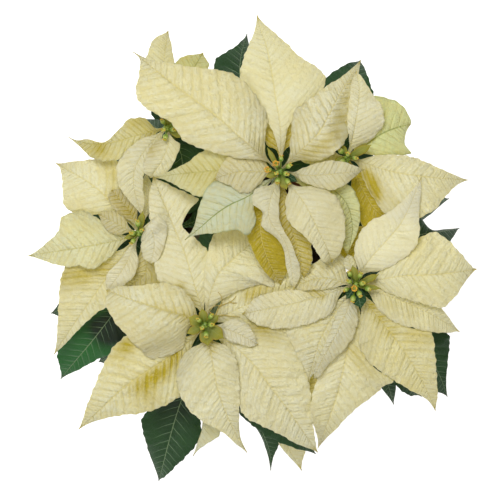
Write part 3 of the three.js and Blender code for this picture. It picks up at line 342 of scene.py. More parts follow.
bract("front", low=14, layer=35, lift=9, drop=22, wave=1.5,
      rib="208,305 216,278 228,264 241,252 256,240",
      left="204,306 204,277 208,252 214,234 230,229 247,232",
      right="217,306 235,292 260,285 275,287 266,268 258,252",
      spots="274,246,10,0.9 264,232,8,0.9 284,258,9,0.8 258,240,7,0.5")
bract("front", low=18, layer=28, lift=6, drop=14, wave=1,
      rib="222,317 250,303 282,290 314,279",
      left="214,309 236,288 264,272 294,266",
      right="222,325 248,326 280,312 306,294",
      pleat=2, spots="258,291,8,0.8 248,296,7,0.8 270,287,7,0.5")
bract("front", low=5, layer=36, lift=4, drop=8, wave=0.8,
      rib="219,327 232,331 245,337 258,345",
      left="219,323 235,319 248,325 255,336",
      right="218,332 230,341 243,345 252,347",
      pale=0.9)
bract("front", low=16, layer=33, lift=12, drop=40, wave=2,
      rib="220,336 238,349 255,366 270,386 286,407 302,430 318,453",
      left="222,328 251,324 281,327 303,341 308,369 311,397 313,424 316,443",
      right="218,341 235,362 239,385 238,408 252,421 275,432 300,446",
      spots="262,326,10,0.8 252,316,8,0.7 276,336,12,0.35 240,312,7,0.6 268,380,30,0.12")
bract("front", low=10, layer=34, lift=12, drop=36, wave=2,
      rib="209,343 214,370 219,394 231,424 247,453",
      left="215,341 232,350 239,372 240,396 239,420 241,440",
      right="202,341 186,352 177,372 180,394 190,411 205,423 222,432 238,446",
      spots="211,342,6,0.7 212,352,5,0.5")
bract("front", low=20, layer=29, lift=8, drop=40, wave=2,
      rib="192,339 171,356 148,371 122,389 100,410 78,430",
      left="195,344 183,368 183,392 166,405 143,413 118,416 94,422",
      right="188,334 158,336 134,333 115,345 103,366 94,387 85,410",
      fold=-0.16, crinkle=1.4, pleat=5, spots="128,346,7,0.5 136,388,9,0.7 147,382,9,0.9 155,376,9,0.9 "
                                              "163,371,8,0.9 171,362,8,1.0 177,354,6,1.0 118,354,16,0.45 "
                                              "125,343,9,0.4 150,396,9,0.5")
bract("front", low=13, layer=31, lift=8, drop=22, wave=1.5,
      rib="188,317 168,311 148,305 127,298 106,290",
      left="189,329 182,349 166,356 151,359 137,347 124,333 112,318 105,303",
      right="197,309 185,291 171,284 154,283 138,286 120,286",
      fold=-0.2, crinkle=1.4, pleat=1, pale=0.2,
      spots="172,311,7,0.5 158,306,7,0.4 186,316,7,0.6 150,337,22,0.15")
bract("front", low=25, layer=26, lift=4, drop=60, wave=1,
      rib="204,350 203,385 203,420 193,457",
      left="212,352 218,388 221,431 203,447",
      right="201,352 201,388 203,424 199,442",
      mint=0.4, pale=1.0)
bract("front", low=26, layer=2.85, lift=2, drop=88, wave=1.5,
      rib="226,340 252,386 278,430 302,472",
      left="231,336 268,383 296,425 306,450",
      right="222,343 242,390 268,427 284,452")
bloom("right", at=(356, 285), top=350, fork=146, cups=9)
bract("right", low=10, layer=41, lift=12, drop=28, wave=2,
      rib="373,281 400,276 425,275 450,273 477,269",
      left="371,276 394,260 415,241 434,232 450,242 463,256 471,265",
      right="373,287 396,296 420,303 441,308 455,297 467,280",
      crinkle=0.9, spots="430,268,34,0.14")
bract("right", low=14, layer=40, lift=10, drop=38, wave=1.5,
      rib="371,290 386,295 402,301 421,309 440,319 460,332",
      left="374,286 400,291 424,299 441,307 451,320",
      right="367,294 380,311 396,323 413,328 431,332 450,333",
      spots="392,303,9,0.35 410,312,9,0.3")
bract("right", low=18, layer=39, lift=10, drop=42, wave=2,
      rib="366,302 384,324 400,345 415,368 427,390 436,411",
      left="371,298 390,318 411,328 431,332 435,352 437,376 438,398",
      right="359,303 361,322 358,341 368,361 386,375 408,389 426,399",
      shade=0.07, shade_end=1.5, spots="371,306,6,0.9 380,318,7,0.8 390,331,9,0.6 410,336,10,0.35 "
                                       "425,336,9,0.3 405,360,30,0.14")
bract("right", low=9, layer=45, lift=5, drop=24, wave=1.5,
      rib="351,300 341,324 331,344 321,362 313,380",
      left="357,302 358,322 352,339 341,353 330,363 319,377",
      right="345,298 335,318 327,339 318,359 312,373",
      fold=-0.2, crinkle=1.2, pleat=1, pale=0.3)
bract("right", low=21, layer=38, lift=8, drop=48, wave=2,
      rib="354,304 351,332 345,362 338,392 329,420 318,449",
      left="360,304 363,332 364,352 376,369 394,380 383,387 376,394 354,411 335,431",
      right="348,303 340,329 330,354 319,374 313,393 310,416 316,433",
      spots="352,350,8,0.6 360,362,8,0.5 372,374,9,0.3")
bract("right", low=12, layer=43, lift=7, drop=14, wave=2,
      rib="338,290 318,297 292,304 266,309 242,314",
      left="341,298 330,314 306,325 281,329 261,326 249,320",
      right="339,285 326,286 302,289 276,291 252,300",
      pale=0.3, spots="313,291,6,0.8 322,296,5,0.8")
bract("right", low=17, layer=42, lift=4, drop=24, wave=1.5,
      rib="343,302 330,321 319,343 308,382",
      left="349,304 340,329 326,353 315,375",
      right="337,298 315,311 287,325 291,343 303,366",
      crinkle=1.3, spots="312,332,22,0.12")
bract("right", low=7, layer=44, lift=5, drop=8, wave=2,
      rib="342,282 326,278 310,280 293,288",
      left="342,287 328,289 312,290 300,290",
      right="349,270 340,254 320,259 303,274",
      crinkle=1.5, shade=0.12, shade_end=1.5)
bract("right", low=22, layer=37, lift=6, drop=18, wave=2,
      rib="362,271 374,254 389,238 405,216 421,177",
      left="355,270 354,252 358,236 369,222 390,211 408,195",
      right="367,275 385,269 400,261 413,250 419,236 419,212 421,191",
      over=49.5, crinkle=0.6, pale=0.8)
bract("right", low=25, layer=36.5, lift=3, drop=10, wave=0.5,
      rib="352,266 350,250 354,238 362,226",
      left="345,267 335,254 341,238 354,227",
      right="359,266 361,252 363,240 369,229",
      shade=0.9, shade_end=1.3)
bract("right", low=27, layer=27, lift=3, drop=50, wave=0.5,
      rib="350,304 336,345 320,385 314,416",
      left="354,305 345,345 330,385 318,410",
      right="345,303 325,345 308,385 309,410",
      shade=0.5, shade_end=1.0)
bract("right", low=4, layer=46, lift=4, drop=0, wave=0.5,
      rib="353,273 350,264 348,254",
      left="349,273 344,266 344,259",
      right="357,272 356,264 353,257")
bloom("left_back", at=(167, 128), top=334, fork=165, cups=5)
bract("left_back", low=18, layer=10, lift=10, drop=28, wave=1.5,
      rib="166,112 164,90 163,70 165,50 168,30",
      left="162,112 152,92 145,72 147,54 155,37",
      right="171,112 178,92 176,70 173,55 171,42")
bract("left_back", low=20, layer=11, lift=8, drop=30, wave=1.5,
      rib="172,114 181,94 190,75 203,52",
      left="167,113 170,91 173,67 185,55",
      right="177,116 193,98 203,80 209,63",
      green=0.7, crinkle=1.6, shade=0.2, shade_end=1.5)
bract("left_back", low=14, layer=16, lift=8, drop=26, wave=3,
      rib="154,131 132,137 110,143 90,144 68,137",
      left="156,136 142,148 124,158 104,161 92,158 80,147",
      right="155,126 144,118 129,119 119,129 104,142 88,139 76,140",
      crinkle=1.5, pleat=2, green=0.15, shade=0.12, shade_end=1.5,
      spots="100,148,9,0.9 136,124,9,0.5 120,140,9,0.2 152,134,8,0.5 82,146,6,0.3")
bract("left_back", low=8, layer=24, lift=10, drop=4, wave=1,
      rib="157,137 143,153 134,172 135,193 142,216",
      left="165,141 153,156 145,170 143,188 145,203",
      right="153,133 138,141 126,151 117,166 119,186 131,203",
      pale=0.5)
bract("left_back", low=5, layer=25, lift=6, drop=2, wave=0.8,
      rib="169,140 166,152 160,164 150,178",
      left="177,139 180,147 174,162 164,176",
      right="158,138 150,147 145,160 143,172",
      pale=0.8, spots="150,149,10,0.6")
bract("left_back", low=22, layer=12, lift=6, drop=18, wave=1,
      rib="181,122 200,116 220,114 240,116",
      left="180,117 200,105 220,106 232,111",
      right="181,128 200,129 220,124 232,121")
print("blooms", len(BLOOMS), "bracts", len(BRACTS))

# %% The leaves that show between and beyond the bracts
# The spots on a leaf are painted shadow, cast by the bracts above it.
leaf("front", at=262, lift=8, drop=64, wave=1.5,
     rib="200,345 192,370 182,398 173,426 165,456 158,483",
     left="204,347 202,375 205,400 200,418 201,436 191,452 175,468 164,479",
     right="195,345 178,375 160,400 143,412 142,430 148,453 154,471",
     spots="176,404,12,0.7 160,408,10,0.5 186,412,8,0.5")
# This leaf's mint is a lighter green painted as light, and its spots are painted shadow.
leaf("left", at=252, lift=8, drop=52, wave=1.5,
     rib="146,262 128,292 108,320 90,343 73,363 59,380",
     left="150,266 141,299 129,326 118,342 114,352 95,361 77,371",
     right="141,259 122,282 104,306 84,322 65,339 56,352 58,368",
     mint=0.9, spots="112,320,13,1.0 104,336,12,1.0 95,326,10,0.8 119,334,12,1.0")
leaf("left", at=226, lift=6, drop=40, wave=1.5,
     rib="140,256 120,274 98,290 74,303 49,314",
     left="144,261 128,286 106,306 80,316 60,318",
     right="136,252 112,260 90,268 72,284 58,302")
leaf("front", at=236, lift=6, drop=56, wave=1.5,
     rib="190,315 168,327 146,340 122,352 97,363",
     left="192,321 178,342 158,360 134,367 112,368",
     right="187,310 162,308 138,320 116,336 102,351")
leaf("back", at=296, lift=6, drop=70, wave=1.5,
     rib="268,160 258,132 247,104 240,78 241,55 247,32",
     left="263,161 244,138 226,110 213,86 213,70 217,57 233,47 243,38",
     right="273,159 272,132 266,104 257,80 252,58 250,42")
leaf("right_back", at=272, lift=6, drop=48, wave=1.5,
     rib="344,150 346,128 350,104 355,82 361,59",
     left="339,150 326,128 320,106 322,83 338,68 352,61",
     right="349,149 364,128 376,108 374,93 369,77 365,66")
leaf("right_back", at=246, lift=6, drop=50, wave=1.5,
     rib="354,190 378,200 402,206 426,207 451,198",
     left="357,184 382,182 406,186 430,192 444,195",
     right="352,195 372,216 396,226 416,224 432,214")
leaf("right", at=282, lift=4, drop=52, wave=1.5,
     rib="366,262 390,245 414,236 438,232 461,228",
     left="362,256 380,228 402,218 418,214 431,229 446,229",
     right="370,267 394,262 416,256 434,250 449,243 456,235")
leaf("right", at=262, lift=6, drop=58, wave=1.5,
     rib="362,298 384,314 406,330 426,352 440,374 449,398",
     left="366,293 392,300 416,312 434,322 450,336 450,354 448,378",
     right="358,303 372,326 390,346 408,366 424,384 437,396")
leaf("right", at=240, lift=4, drop=50, wave=1.2,
     rib="346,300 362,322 374,348 386,376 395,406",
     left="352,298 374,322 390,348 397,372 397,392",
     right="341,302 350,328 360,352 372,374 386,394")
leaf("front", at=214, lift=6, drop=46, wave=1.2,
     rib="218,320 228,348 242,384 258,424 269,450 271,473",
     left="223,318 244,350 264,386 280,422 282,440 275,456",
     right="213,323 214,352 222,388 240,416 257,431 266,451")
leaf("front", at=288, lift=4, drop=40, wave=1.2,
     rib="212,352 234,378 262,402 290,427 316,455",
     left="216,350 250,370 282,394 303,420 311,441",
     right="208,354 222,384 238,412 268,437 298,450")
leaf("right", at=252, lift=5, drop=56, wave=1.2,
     rib="364,306 380,330 394,354 408,376 423,398",
     left="368,303 392,330 410,356 420,380",
     right="360,309 372,338 384,362 396,385 411,397")
leaf("left_back", at=268, lift=6, drop=20, wave=1.2,
     rib="176,142 181,155 182,173 178,196 168,214",
     left="182,136 203,144 213,169 207,196 190,213",
     right="169,146 160,158 150,172 150,192 155,207")
leaf("back", at=262, lift=4, drop=30, wave=1,
     rib="284,166 292,150 298,130 302,108",
     left="277,166 263,150 271,126 290,112",
     right="294,172 318,168 326,144 316,118")
print("leaves set out by hand", len(LEAVES))

# %% Plainer leaves, by rule: branch, height of the root, bearing, stalk and blade lengths
PLAIN_LEAVES = [
    ("back", 226, 72, 44, 104),
    ("back", 250, 112, 36, 96),
    ("right_back", 214, 48, 40, 100),
    ("right_back", 196, 12, 42, 98),
    ("right", 206, -20, 40, 100),
    ("right", 186, -62, 42, 96),
    ("front", 192, -84, 40, 100),
    ("front", 204, -136, 42, 98),
    ("left", 200, 196, 40, 80),
    ("left", 214, 158, 36, 80),
    ("left_back", 208, 160, 36, 84),
    ("left_back", 232, 106, 38, 84),
    ("front", 258, 82, 34, 84),
    ("right", 256, 200, 30, 80),
    ("left", 236, 20, 34, 60),
    ("left", 262, 70, 8, 46),
    ("right", 276, 35, 4, 50),
    ("left_back", 262, 147, 6, 34),
]
SKIRT_WIDTH_SHARE = 0.31
SKIRT_LIFT, SKIRT_DROP, SKIRT_WAVE = 8, 46, 1.5
SKIRT_OUTLINE = [(0.04, 0.3), (0.18, 0.92), (0.4, 0.97), (0.62, 0.68), (0.82, 0.32)]

# Small bracts close round the flower cups: bearing, length, half width
INNER_BRACTS = {
    "back": [[118, 27, 3], [200, 15, 4], [-70, 19, 6], [-30, 20, 4]],
    "right_back": [[28, 27, 5], [195, 14, 4], [110, 14, 3]],
    "left": [[80, 22, 4], [200, 16, 3], [-60, 20, 4]],
    "front": [[100, 17, 5], [155, 18, 7], [205, 20, 5], [-35, 23, 8], [-82, 21, 8], [35, 17, 5]],
    "right": [[25, 25, 4], [-8, 25, 3], [-78, 24, 8], [-125, 17, 5], [100, 20, 5]],
    "left_back": [[85, 20, 4], [36, 16, 4], [-32, 18, 4]],
}
print("plain leaves", len(PLAIN_LEAVES))

# %% [markdown]
# ## Curves
#
# Two kinds of smooth line are used. A line on the plan passes evenly through its points. A stem is a
# space curve whose bends stay round where its points lie close together. Both are worked out here in
# a few lines, so that a blade's root can be placed exactly on its stem.

# %% Smooth lines through points
LINE_SAMPLES = 200


def smooth(points, t):
    """Points on an even Catmull-Rom line, at t from 0 to 1."""
    points = np.asarray(points, float)
    last = len(points) - 1
    spot = np.clip(np.asarray(t, float), 0, 1) * last
    i = np.minimum(spot.astype(int), last)
    w = (spot - i)[:, None]
    p0, p1 = points[np.maximum(i - 1, 0)], points[i]
    p2, p3 = points[np.minimum(i + 1, last)], points[np.minimum(i + 2, last)]
    v0, v1 = (p2 - p0) / 2, (p3 - p1) / 2
    return (2 * p1 - 2 * p2 + v0 + v1) * w**3 + (-3 * p1 + 3 * p2 - 2 * v0 - v1) * w**2 + v0 * w + p1


def lengths_along(points):
    steps = np.linalg.norm(np.diff(points, axis=0), axis=1)
    return np.concatenate([[0], np.cumsum(steps)])


def share_to_t(line, shares):
    """The t of each share of a line's length, for any line given as a function of t."""
    t = np.linspace(0, 1, LINE_SAMPLES + 1)
    lengths = lengths_along(line(t))
    return np.interp(np.asarray(shares) * lengths[-1], lengths, t)


def along(points, shares):
    return smooth(points, share_to_t(lambda t: smooth(points, t), shares))


def stem_line(points):
    """A space curve through the points, as a function of t, with steps weighed by their length."""
    points = np.asarray(points, float)
    ends = np.vstack([2 * points[0] - points[1], points, 2 * points[-1] - points[-2]])
    gaps = np.sqrt(np.linalg.norm(np.diff(ends, axis=0), axis=1))

    def at(t):
        spot = np.clip(np.asarray(t, float), 0, 1) * (len(points) - 1)
        i = np.minimum(spot.astype(int), len(points) - 2)
        w = (spot - i)[:, None]
        p0, p1, p2, p3 = (ends[i + k] for k in range(4))
        d0, d1, d2 = (gaps[i + k][:, None] for k in range(3))
        m1 = ((p1 - p0) / d0 - (p2 - p0) / (d0 + d1) + (p2 - p1) / d1) * d1
        m2 = ((p2 - p1) / d1 - (p3 - p1) / (d1 + d2) + (p3 - p2) / d2) * d1
        return (2 * p1 - 2 * p2 + m1 + m2) * w**3 + (-3 * p1 + 3 * p2 - 2 * m1 - m2) * w**2 + m1 * w + p1

    return at


print("a quarter of the way along a bent line:", along([(0, 0), (40, 10), (80, 0)], [0.25])[0].round(1))

# %% [markdown]
# ## Stems
#
# The main stem rises from the soil and forks into six short stubs. On each stub a branch swings out,
# then stands upright under its bloom. The stem end above it carries the bracts.

# %% The lines of the stems
STUB_REACH = 15
BRANCH_STAND = 12
# A branch bends at these shares of its way out and of its way up.
BRANCH_BENDS = ((0.62, 0.42), (0.9, 0.7))
LEAST_RISE, NEAR_RISE = 0.55, 42
HUB_LENGTH = 30
SEAT_GAP = 0.3
UP = np.array([0, 0, 1.0])


def unit(vector):
    return vector / np.linalg.norm(vector)


def branch_start(one):
    """The way a branch leaves the main stem: the steeper, the nearer its bloom."""
    rise = LEAST_RISE + NEAR_RISE / np.linalg.norm(one["plan"])
    return unit(np.array([*unit(one["plan"]), rise]))


def branch_points(one):
    """Its start on the stub, its bends, and its upright end under the bloom."""
    foot = np.array([0, 0, one["fork"]], float)
    heading = branch_start(one)
    end = one["top"] - HUB_LENGTH - SEAT_GAP

    def climb(share, height):
        return np.array([*(one["plan"] * share), one["fork"] + (end - one["fork"]) * height])

    return [foot + heading * (STUB_REACH + SEAT_GAP), foot + heading * (STUB_REACH + BRANCH_STAND),
            *(climb(*bend) for bend in BRANCH_BENDS),
            np.array([*one["plan"], end - BRANCH_STAND]), np.array([*one["plan"], end])]


def point_at_height(points, height):
    """The place where a stem passes a height."""
    line = stem_line(points)
    spots = line(share_to_t(line, np.linspace(0, 1, LINE_SAMPLES + 1)))
    return spots[np.argmin(abs(spots[:, 2] - height))]


for one in BLOOMS.values():
    print("branch", one["name"], "starts at", branch_points(one)[0].round(0), "and ends at", one["top"], "mm")

# %% [markdown]
# ## Laying the blades
#
# Blades must not cut through each other. Each one is first a coarse grid: a row for each point of its
# edges, with three or five columns. The grids are laid one by one, lowest first, over a height map of
# all that lies below. A blade that would touch is raised there, and the rise is spread out softly, so
# that it drapes as a real bract does. These are the rules that the solid model was laid by.

# %% Every blade in its turn
STALK_HALF_WIDTH, TIP_HALF_WIDTH = 1.5, 0.5
BLADE_START, BLADE_MIDDLE = 0.6, 0.5
BRACT_THICKNESS, STALK_EXTRA = 0.8, 1.6


def spots_from(point, bearing):
    """Gives places so far ahead of a point in one bearing, and so far aside."""
    angle = math.radians(bearing)
    ahead = np.array([math.cos(angle), math.sin(angle)])
    aside = np.array([-ahead[1], ahead[0]])
    return lambda distance, offset: point[:2] + ahead * distance + aside * offset


def plain_leaf(home, at, bearing, stalk, blade):
    """An ovate blade on a stalk, drawn out to its tip."""
    root = point_at_height(branch_points(BLOOMS[home]), at)
    spot = spots_from(root, bearing)
    half = blade * SKIRT_WIDTH_SHARE

    def side(sign):
        shoulder = [spot(stalk + blade * t, sign * w * half) for t, w in SKIRT_OUTLINE]
        return np.array([spot(stalk * BLADE_START, sign * STALK_HALF_WIDTH), *shoulder])

    distances = (stalk * BLADE_START, stalk, stalk + blade * BLADE_MIDDLE, stalk + blade)
    rib = np.array([spot(distance, 0) for distance in distances])
    return dict(home=home, layer=at / 100, root=root, lift=SKIRT_LIFT, drop=SKIRT_DROP, wave=SKIRT_WAVE,
                rib=rib, left=side(1), right=side(-1), look={})


def turning(loop):
    """Twice the signed area of a closed outline: positive if it runs to the left."""
    x, y = loop[:, 0], loop[:, 1]
    return np.sum(x * np.roll(y, -1) - y * np.roll(x, -1))


def sided(blade):
    """Puts a blade's edges on their own sides, seen from its root."""
    if turning(np.vstack([blade["left"], blade["right"][::-1]])) < 0:
        return blade
    return dict(blade, left=blade["right"], right=blade["left"])


blades = []
for plan in BRACTS:
    one = BLOOMS[plan["home"]]
    height = one["top"] - plan["low"] - BRACT_THICKNESS - STALK_EXTRA
    blades.append(dict(plan, kind="bract", root=np.array([*one["plan"], height])))
for plan in LEAVES:
    root = point_at_height(branch_points(BLOOMS[plan["home"]]), plan["at"])
    blades.append(dict(plan, kind="leaf", root=root))
blades += [dict(plain_leaf(*row), kind="leaf") for row in PLAIN_LEAVES]
blades = [sided(blade) for blade in sorted(blades, key=lambda blade: blade["layer"])]
print("blades", len(blades))

# %% The coarse grid of one blade
BROAD = 42
FOLD, CURL = 0.2, 0.3
WAVES = 2.5
GOLDEN_ANGLE = 2.39996


def stations(points, rows):
    if len(points) == rows + 1:
        return np.asarray(points, float)
    return along(points, np.linspace(0, 1, rows + 1))


def shares_along(points):
    lengths = lengths_along(points)
    return lengths / lengths[-1]


def lay_out(blade, turn):
    """Adds the rows and columns of a blade: their places on the plan and their planned heights."""
    root, rib = blade["root"], np.vstack([blade["root"][:2], blade["rib"]])
    rows = max(len(blade["left"]), len(blade["right"])) + 1
    ahead, end_ahead = unit(rib[1] - rib[0]), unit(rib[-1] - rib[-2])
    aside, end_aside = np.array([-ahead[1], ahead[0]]), np.array([-end_ahead[1], end_ahead[0]])

    def edge(points, side):
        start = root[:2] + aside * side * STALK_HALF_WIDTH
        end = rib[-1] + end_aside * side * TIP_HALF_WIDTH
        return stations(np.vstack([start, points, end]), rows)

    left, right = edge(blade["left"], 1), edge(blade["right"], -1)
    middle = along(rib, (shares_along(left) + shares_along(right)) / 2)
    reach = np.stack([np.linalg.norm(middle - right, axis=1), np.linalg.norm(middle - left, axis=1)])
    shares = np.array([-1, -0.5, 0, 0.5, 1] if reach.max() > BROAD else [-1, 0, 1])
    t = np.linspace(0, 1, rows + 1)[:, None]
    u = abs(shares)[None]
    is_left = shares[None] > 0
    width = np.where(is_left, reach[1][:, None], reach[0][:, None])
    near_edge = np.where(is_left[..., None], left[:, None], right[:, None])
    place = middle[:, None] * (1 - u[..., None]) + near_edge * u[..., None]
    spine = root[2] + blade["lift"] * 4 * t * (1 - t) - blade["drop"] * t * t
    ripple = blade["wave"] * u * u * np.sin(2 * np.pi * WAVES * t + GOLDEN_ANGLE * turn + shares[None])
    height = spine + (FOLD * u - CURL * u * u) * width + ripple * np.minimum(1, 4 * t * (1 - t))
    return dict(blade, turn=turn, left=left, right=right, middle=middle, place=place, height=height,
                t=t[:, 0])


print("rows and columns of the lowest blade:", lay_out(blades[0], 0)["height"].shape)

# %% Where a blade is tested on the height map
CELL = 2
CELLS = SHEET // CELL
LEAST_AREA = 1e-6
BARE = -1.0
laid = np.full((CELLS, CELLS), BARE)


def cell_of(place):
    return tuple(np.floor((place[:, ::-1] + SHEET / 2) / CELL).astype(int).T)


def samples_in(p, q, r):
    """The middles of the cells in a triangle, as shares of its three corners and as places."""
    area = (q[0] - p[0]) * (r[1] - p[1]) - (r[0] - p[0]) * (q[1] - p[1])
    if abs(area) < LEAST_AREA:
        return np.empty((0, 3)), np.empty((0, 2))
    low, high = np.minimum(np.minimum(p, q), r), np.maximum(np.maximum(p, q), r)
    start = (np.floor(low / CELL) + 0.5) * CELL
    columns, rows = (np.arange(start[k], high[k], CELL) for k in (0, 1))
    x, y = (axis.ravel() for axis in np.meshgrid(columns, rows))
    second = ((x - p[0]) * (r[1] - p[1]) - (r[0] - p[0]) * (y - p[1])) / area
    third = ((q[0] - p[0]) * (y - p[1]) - (x - p[0]) * (q[1] - p[1])) / area
    inside = (second >= 0) & (third >= 0) & (second + third <= 1)
    return np.stack([1 - second - third, second, third], 1)[inside], np.stack([x, y], 1)[inside]


def samples_of(grid):
    """Where a blade is tested: its corners, and every cell it covers, as shares of three corners."""
    rows, columns = grid["height"].shape
    spots = grid["place"].reshape(-1, 2)
    corners = [np.repeat(np.arange(len(spots))[:, None], 3, 1)]
    shares, places = [np.tile([1.0, 0, 0], (len(spots), 1))], [spots]
    for i in range(rows - 1):
        for j in range(columns - 1):
            a, b = i * columns + j, (i + 1) * columns + j
            halves = [(a, a + 1, b + 1), (a, b + 1, b)]
            if j < (columns - 1) / 2:
                halves = [(a, a + 1, b), (a + 1, b + 1, b)]
            for half in halves:
                found, there = samples_in(*spots[list(half)])
                corners.append(np.tile(half, (len(found), 1)))
                shares.append(found)
                places.append(there)
    return np.concatenate(corners), np.concatenate(shares), np.concatenate(places)


print("height map", CELLS, "by", CELLS, "cells")

# %% The room that a blade takes and needs
LAY_GAP = 1.6
LEAST_UPRIGHT = 0.5
HUB_CLEAR = 15
CLUSTER_CLEAR_RADIUS, CLUSTER_CLEAR_HEIGHT = 14, 17
STALK_SHARE = 0.16


def thickness_of(grid):
    """The upright thickness at each corner: more on a slope, and more along the stalk."""
    solid = np.dstack([grid["place"], grid["height"]])
    rows, columns = grid["height"].shape
    i, j = np.arange(rows), np.arange(columns)
    down = solid[np.minimum(i + 1, rows - 1)] - solid[np.maximum(i - 1, 0)]
    across = solid[:, np.minimum(j + 1, columns - 1)] - solid[:, np.maximum(j - 1, 0)]
    normal = np.cross(down, across)
    upright = abs(normal[..., 2]) / np.maximum(np.linalg.norm(normal, axis=2), 1e-9)
    stalk = STALK_EXTRA * np.maximum(0, 1 - grid["t"] / STALK_SHARE)
    return (BRACT_THICKNESS + stalk[:, None]) / np.clip(upright, LEAST_UPRIGHT, 1)


def floor_under(grid, places):
    """How high a blade must lie at each place. Its own root, and its own bloom's middle, are free."""
    floor_there = laid[cell_of(places)] + LAY_GAP
    for one in BLOOMS.values():
        near = np.linalg.norm(places - one["plan"], axis=1)
        if grid["kind"] == "bract" and one["name"] == grid["home"]:
            floor_there[near < HUB_CLEAR] = BARE
        elif grid["kind"] == "bract":
            above = np.maximum(floor_there, one["top"] + CLUSTER_CLEAR_HEIGHT)
            floor_there = np.where(near < CLUSTER_CLEAR_RADIUS, above, floor_there)
    floor_there[np.linalg.norm(places - grid["root"][:2], axis=1) < HUB_CLEAR] = BARE
    return floor_there


print("thickest point of the lowest blade:", thickness_of(lay_out(blades[0], 0)).max().round(1), "mm")

# %% Settling a blade on those below it
LAY_PASSES, SOFTEN_ROUNDS = 60, 6
LAY_ENOUGH, LEAST_SHARE = 0.05, 0.2


def settle(grid):
    """Raises a blade until it clears what lies under it, evenly enough to stay smooth."""
    corners, shares, places = samples_of(grid)
    floor_there = floor_under(grid, places)
    planned = grid["height"].ravel().copy()
    height = planned.copy()
    columns = grid["height"].shape[1]
    needed = floor_there > 0
    want, who, how = floor_there[needed], corners[needed], shares[needed]

    def enforce():
        for _ in range(LAY_PASSES):
            short = want - np.sum(how * height[who], axis=1)
            rise = np.zeros(len(height))
            for k in range(3):
                pushed = (short > 0) & (how[:, k] > LEAST_SHARE)
                np.maximum.at(rise, who[pushed, k], short[pushed])
            if rise.max() < LAY_ENOUGH:
                return
            height[columns:] += rise[columns:]

    enforce()
    for _ in range(SOFTEN_ROUNDS):
        raised = (height - planned).reshape(grid["height"].shape)
        padded = np.pad(raised, 1, constant_values=np.nan)
        around = np.stack([padded[:-2, 1:-1], padded[2:, 1:-1], padded[1:-1, :-2], padded[1:-1, 2:]])
        mixed = (raised + np.nanmean(around, axis=0)) / 2
        mixed[0] = raised[0]
        height[:] = planned + mixed.ravel()
        enforce()
    grid["height"] = height.reshape(grid["height"].shape)
    top = (grid["height"] + thickness_of(grid)).ravel()
    np.maximum.at(laid, cell_of(places), np.sum(shares * top[corners], axis=1))
    return grid


in_order = sorted(enumerate(blades), key=lambda item: item[1]["look"].get("over", item[1]["layer"]))
grids = [settle(lay_out(blade, turn)) for turn, blade in in_order]
print("laid", len(grids), "blades, the highest point", round(laid.max(), 1), "mm up")

# %% [markdown]
# ## From coarse grids to living blades
#
# A real bract is a thin skin, pillowed between its side veins, with a sunken midrib and a wavy edge.
# It could be a subdivided plane with a texture, but the veins must follow each blade. So every coarse
# grid is drawn out into a fine one here. Each point knows how far it is along the midrib and aside
# from it, and that gives the veins their places, both in the relief and later in the colour.

# %% The fine grid
GRAIN = 1.8
BULGE = 0.22
SHELL = 0.45
STALK_DEPTH, STALK_ROUND = 1.7, 2.2
RIB_DEPTH, RIB_HALF = 0.9, 1.3
TIP_DRAW, TIP_LEAST, TIP_HALF = 0.45, 0.03, 0.42
ROOT_STATIONS, ROOT_DRAW, ROOT_HALF = 1.5, 1.3, 1.5
# Both edges wander in and out, in two beats, and one edge lags behind the other.
EDGE_WANDER, LONG_BEAT, SHORT_BEAT, EDGE_LAG, WANDER_FROM = 0.45, 2.3, 1.1, 3.7, 20


def across(columns, shares):
    """Heights between the columns of a coarse grid, at shares from -1 to 1."""
    u = abs(shares)
    middle = columns.shape[1] // 2
    edge = np.where(shares > 0, columns[:, -1:], columns[:, :1])
    centre = columns[:, middle:middle + 1]
    if columns.shape[1] == 3:
        return centre * (1 - u) + edge * u
    half = np.where(shares > 0, columns[:, 3:4], columns[:, 1:2])
    return centre * (1 - u) * (1 - 2 * u) + half * 4 * u * (1 - u) + edge * u * (2 * u - 1)


def drawn_out(rows, last):
    """Narrows the last stretch of a blade, so that it ends in a long thin drip tip."""
    rest = np.clip(last - rows, 0, 1)
    return np.maximum(rest, TIP_LEAST) ** TIP_DRAW


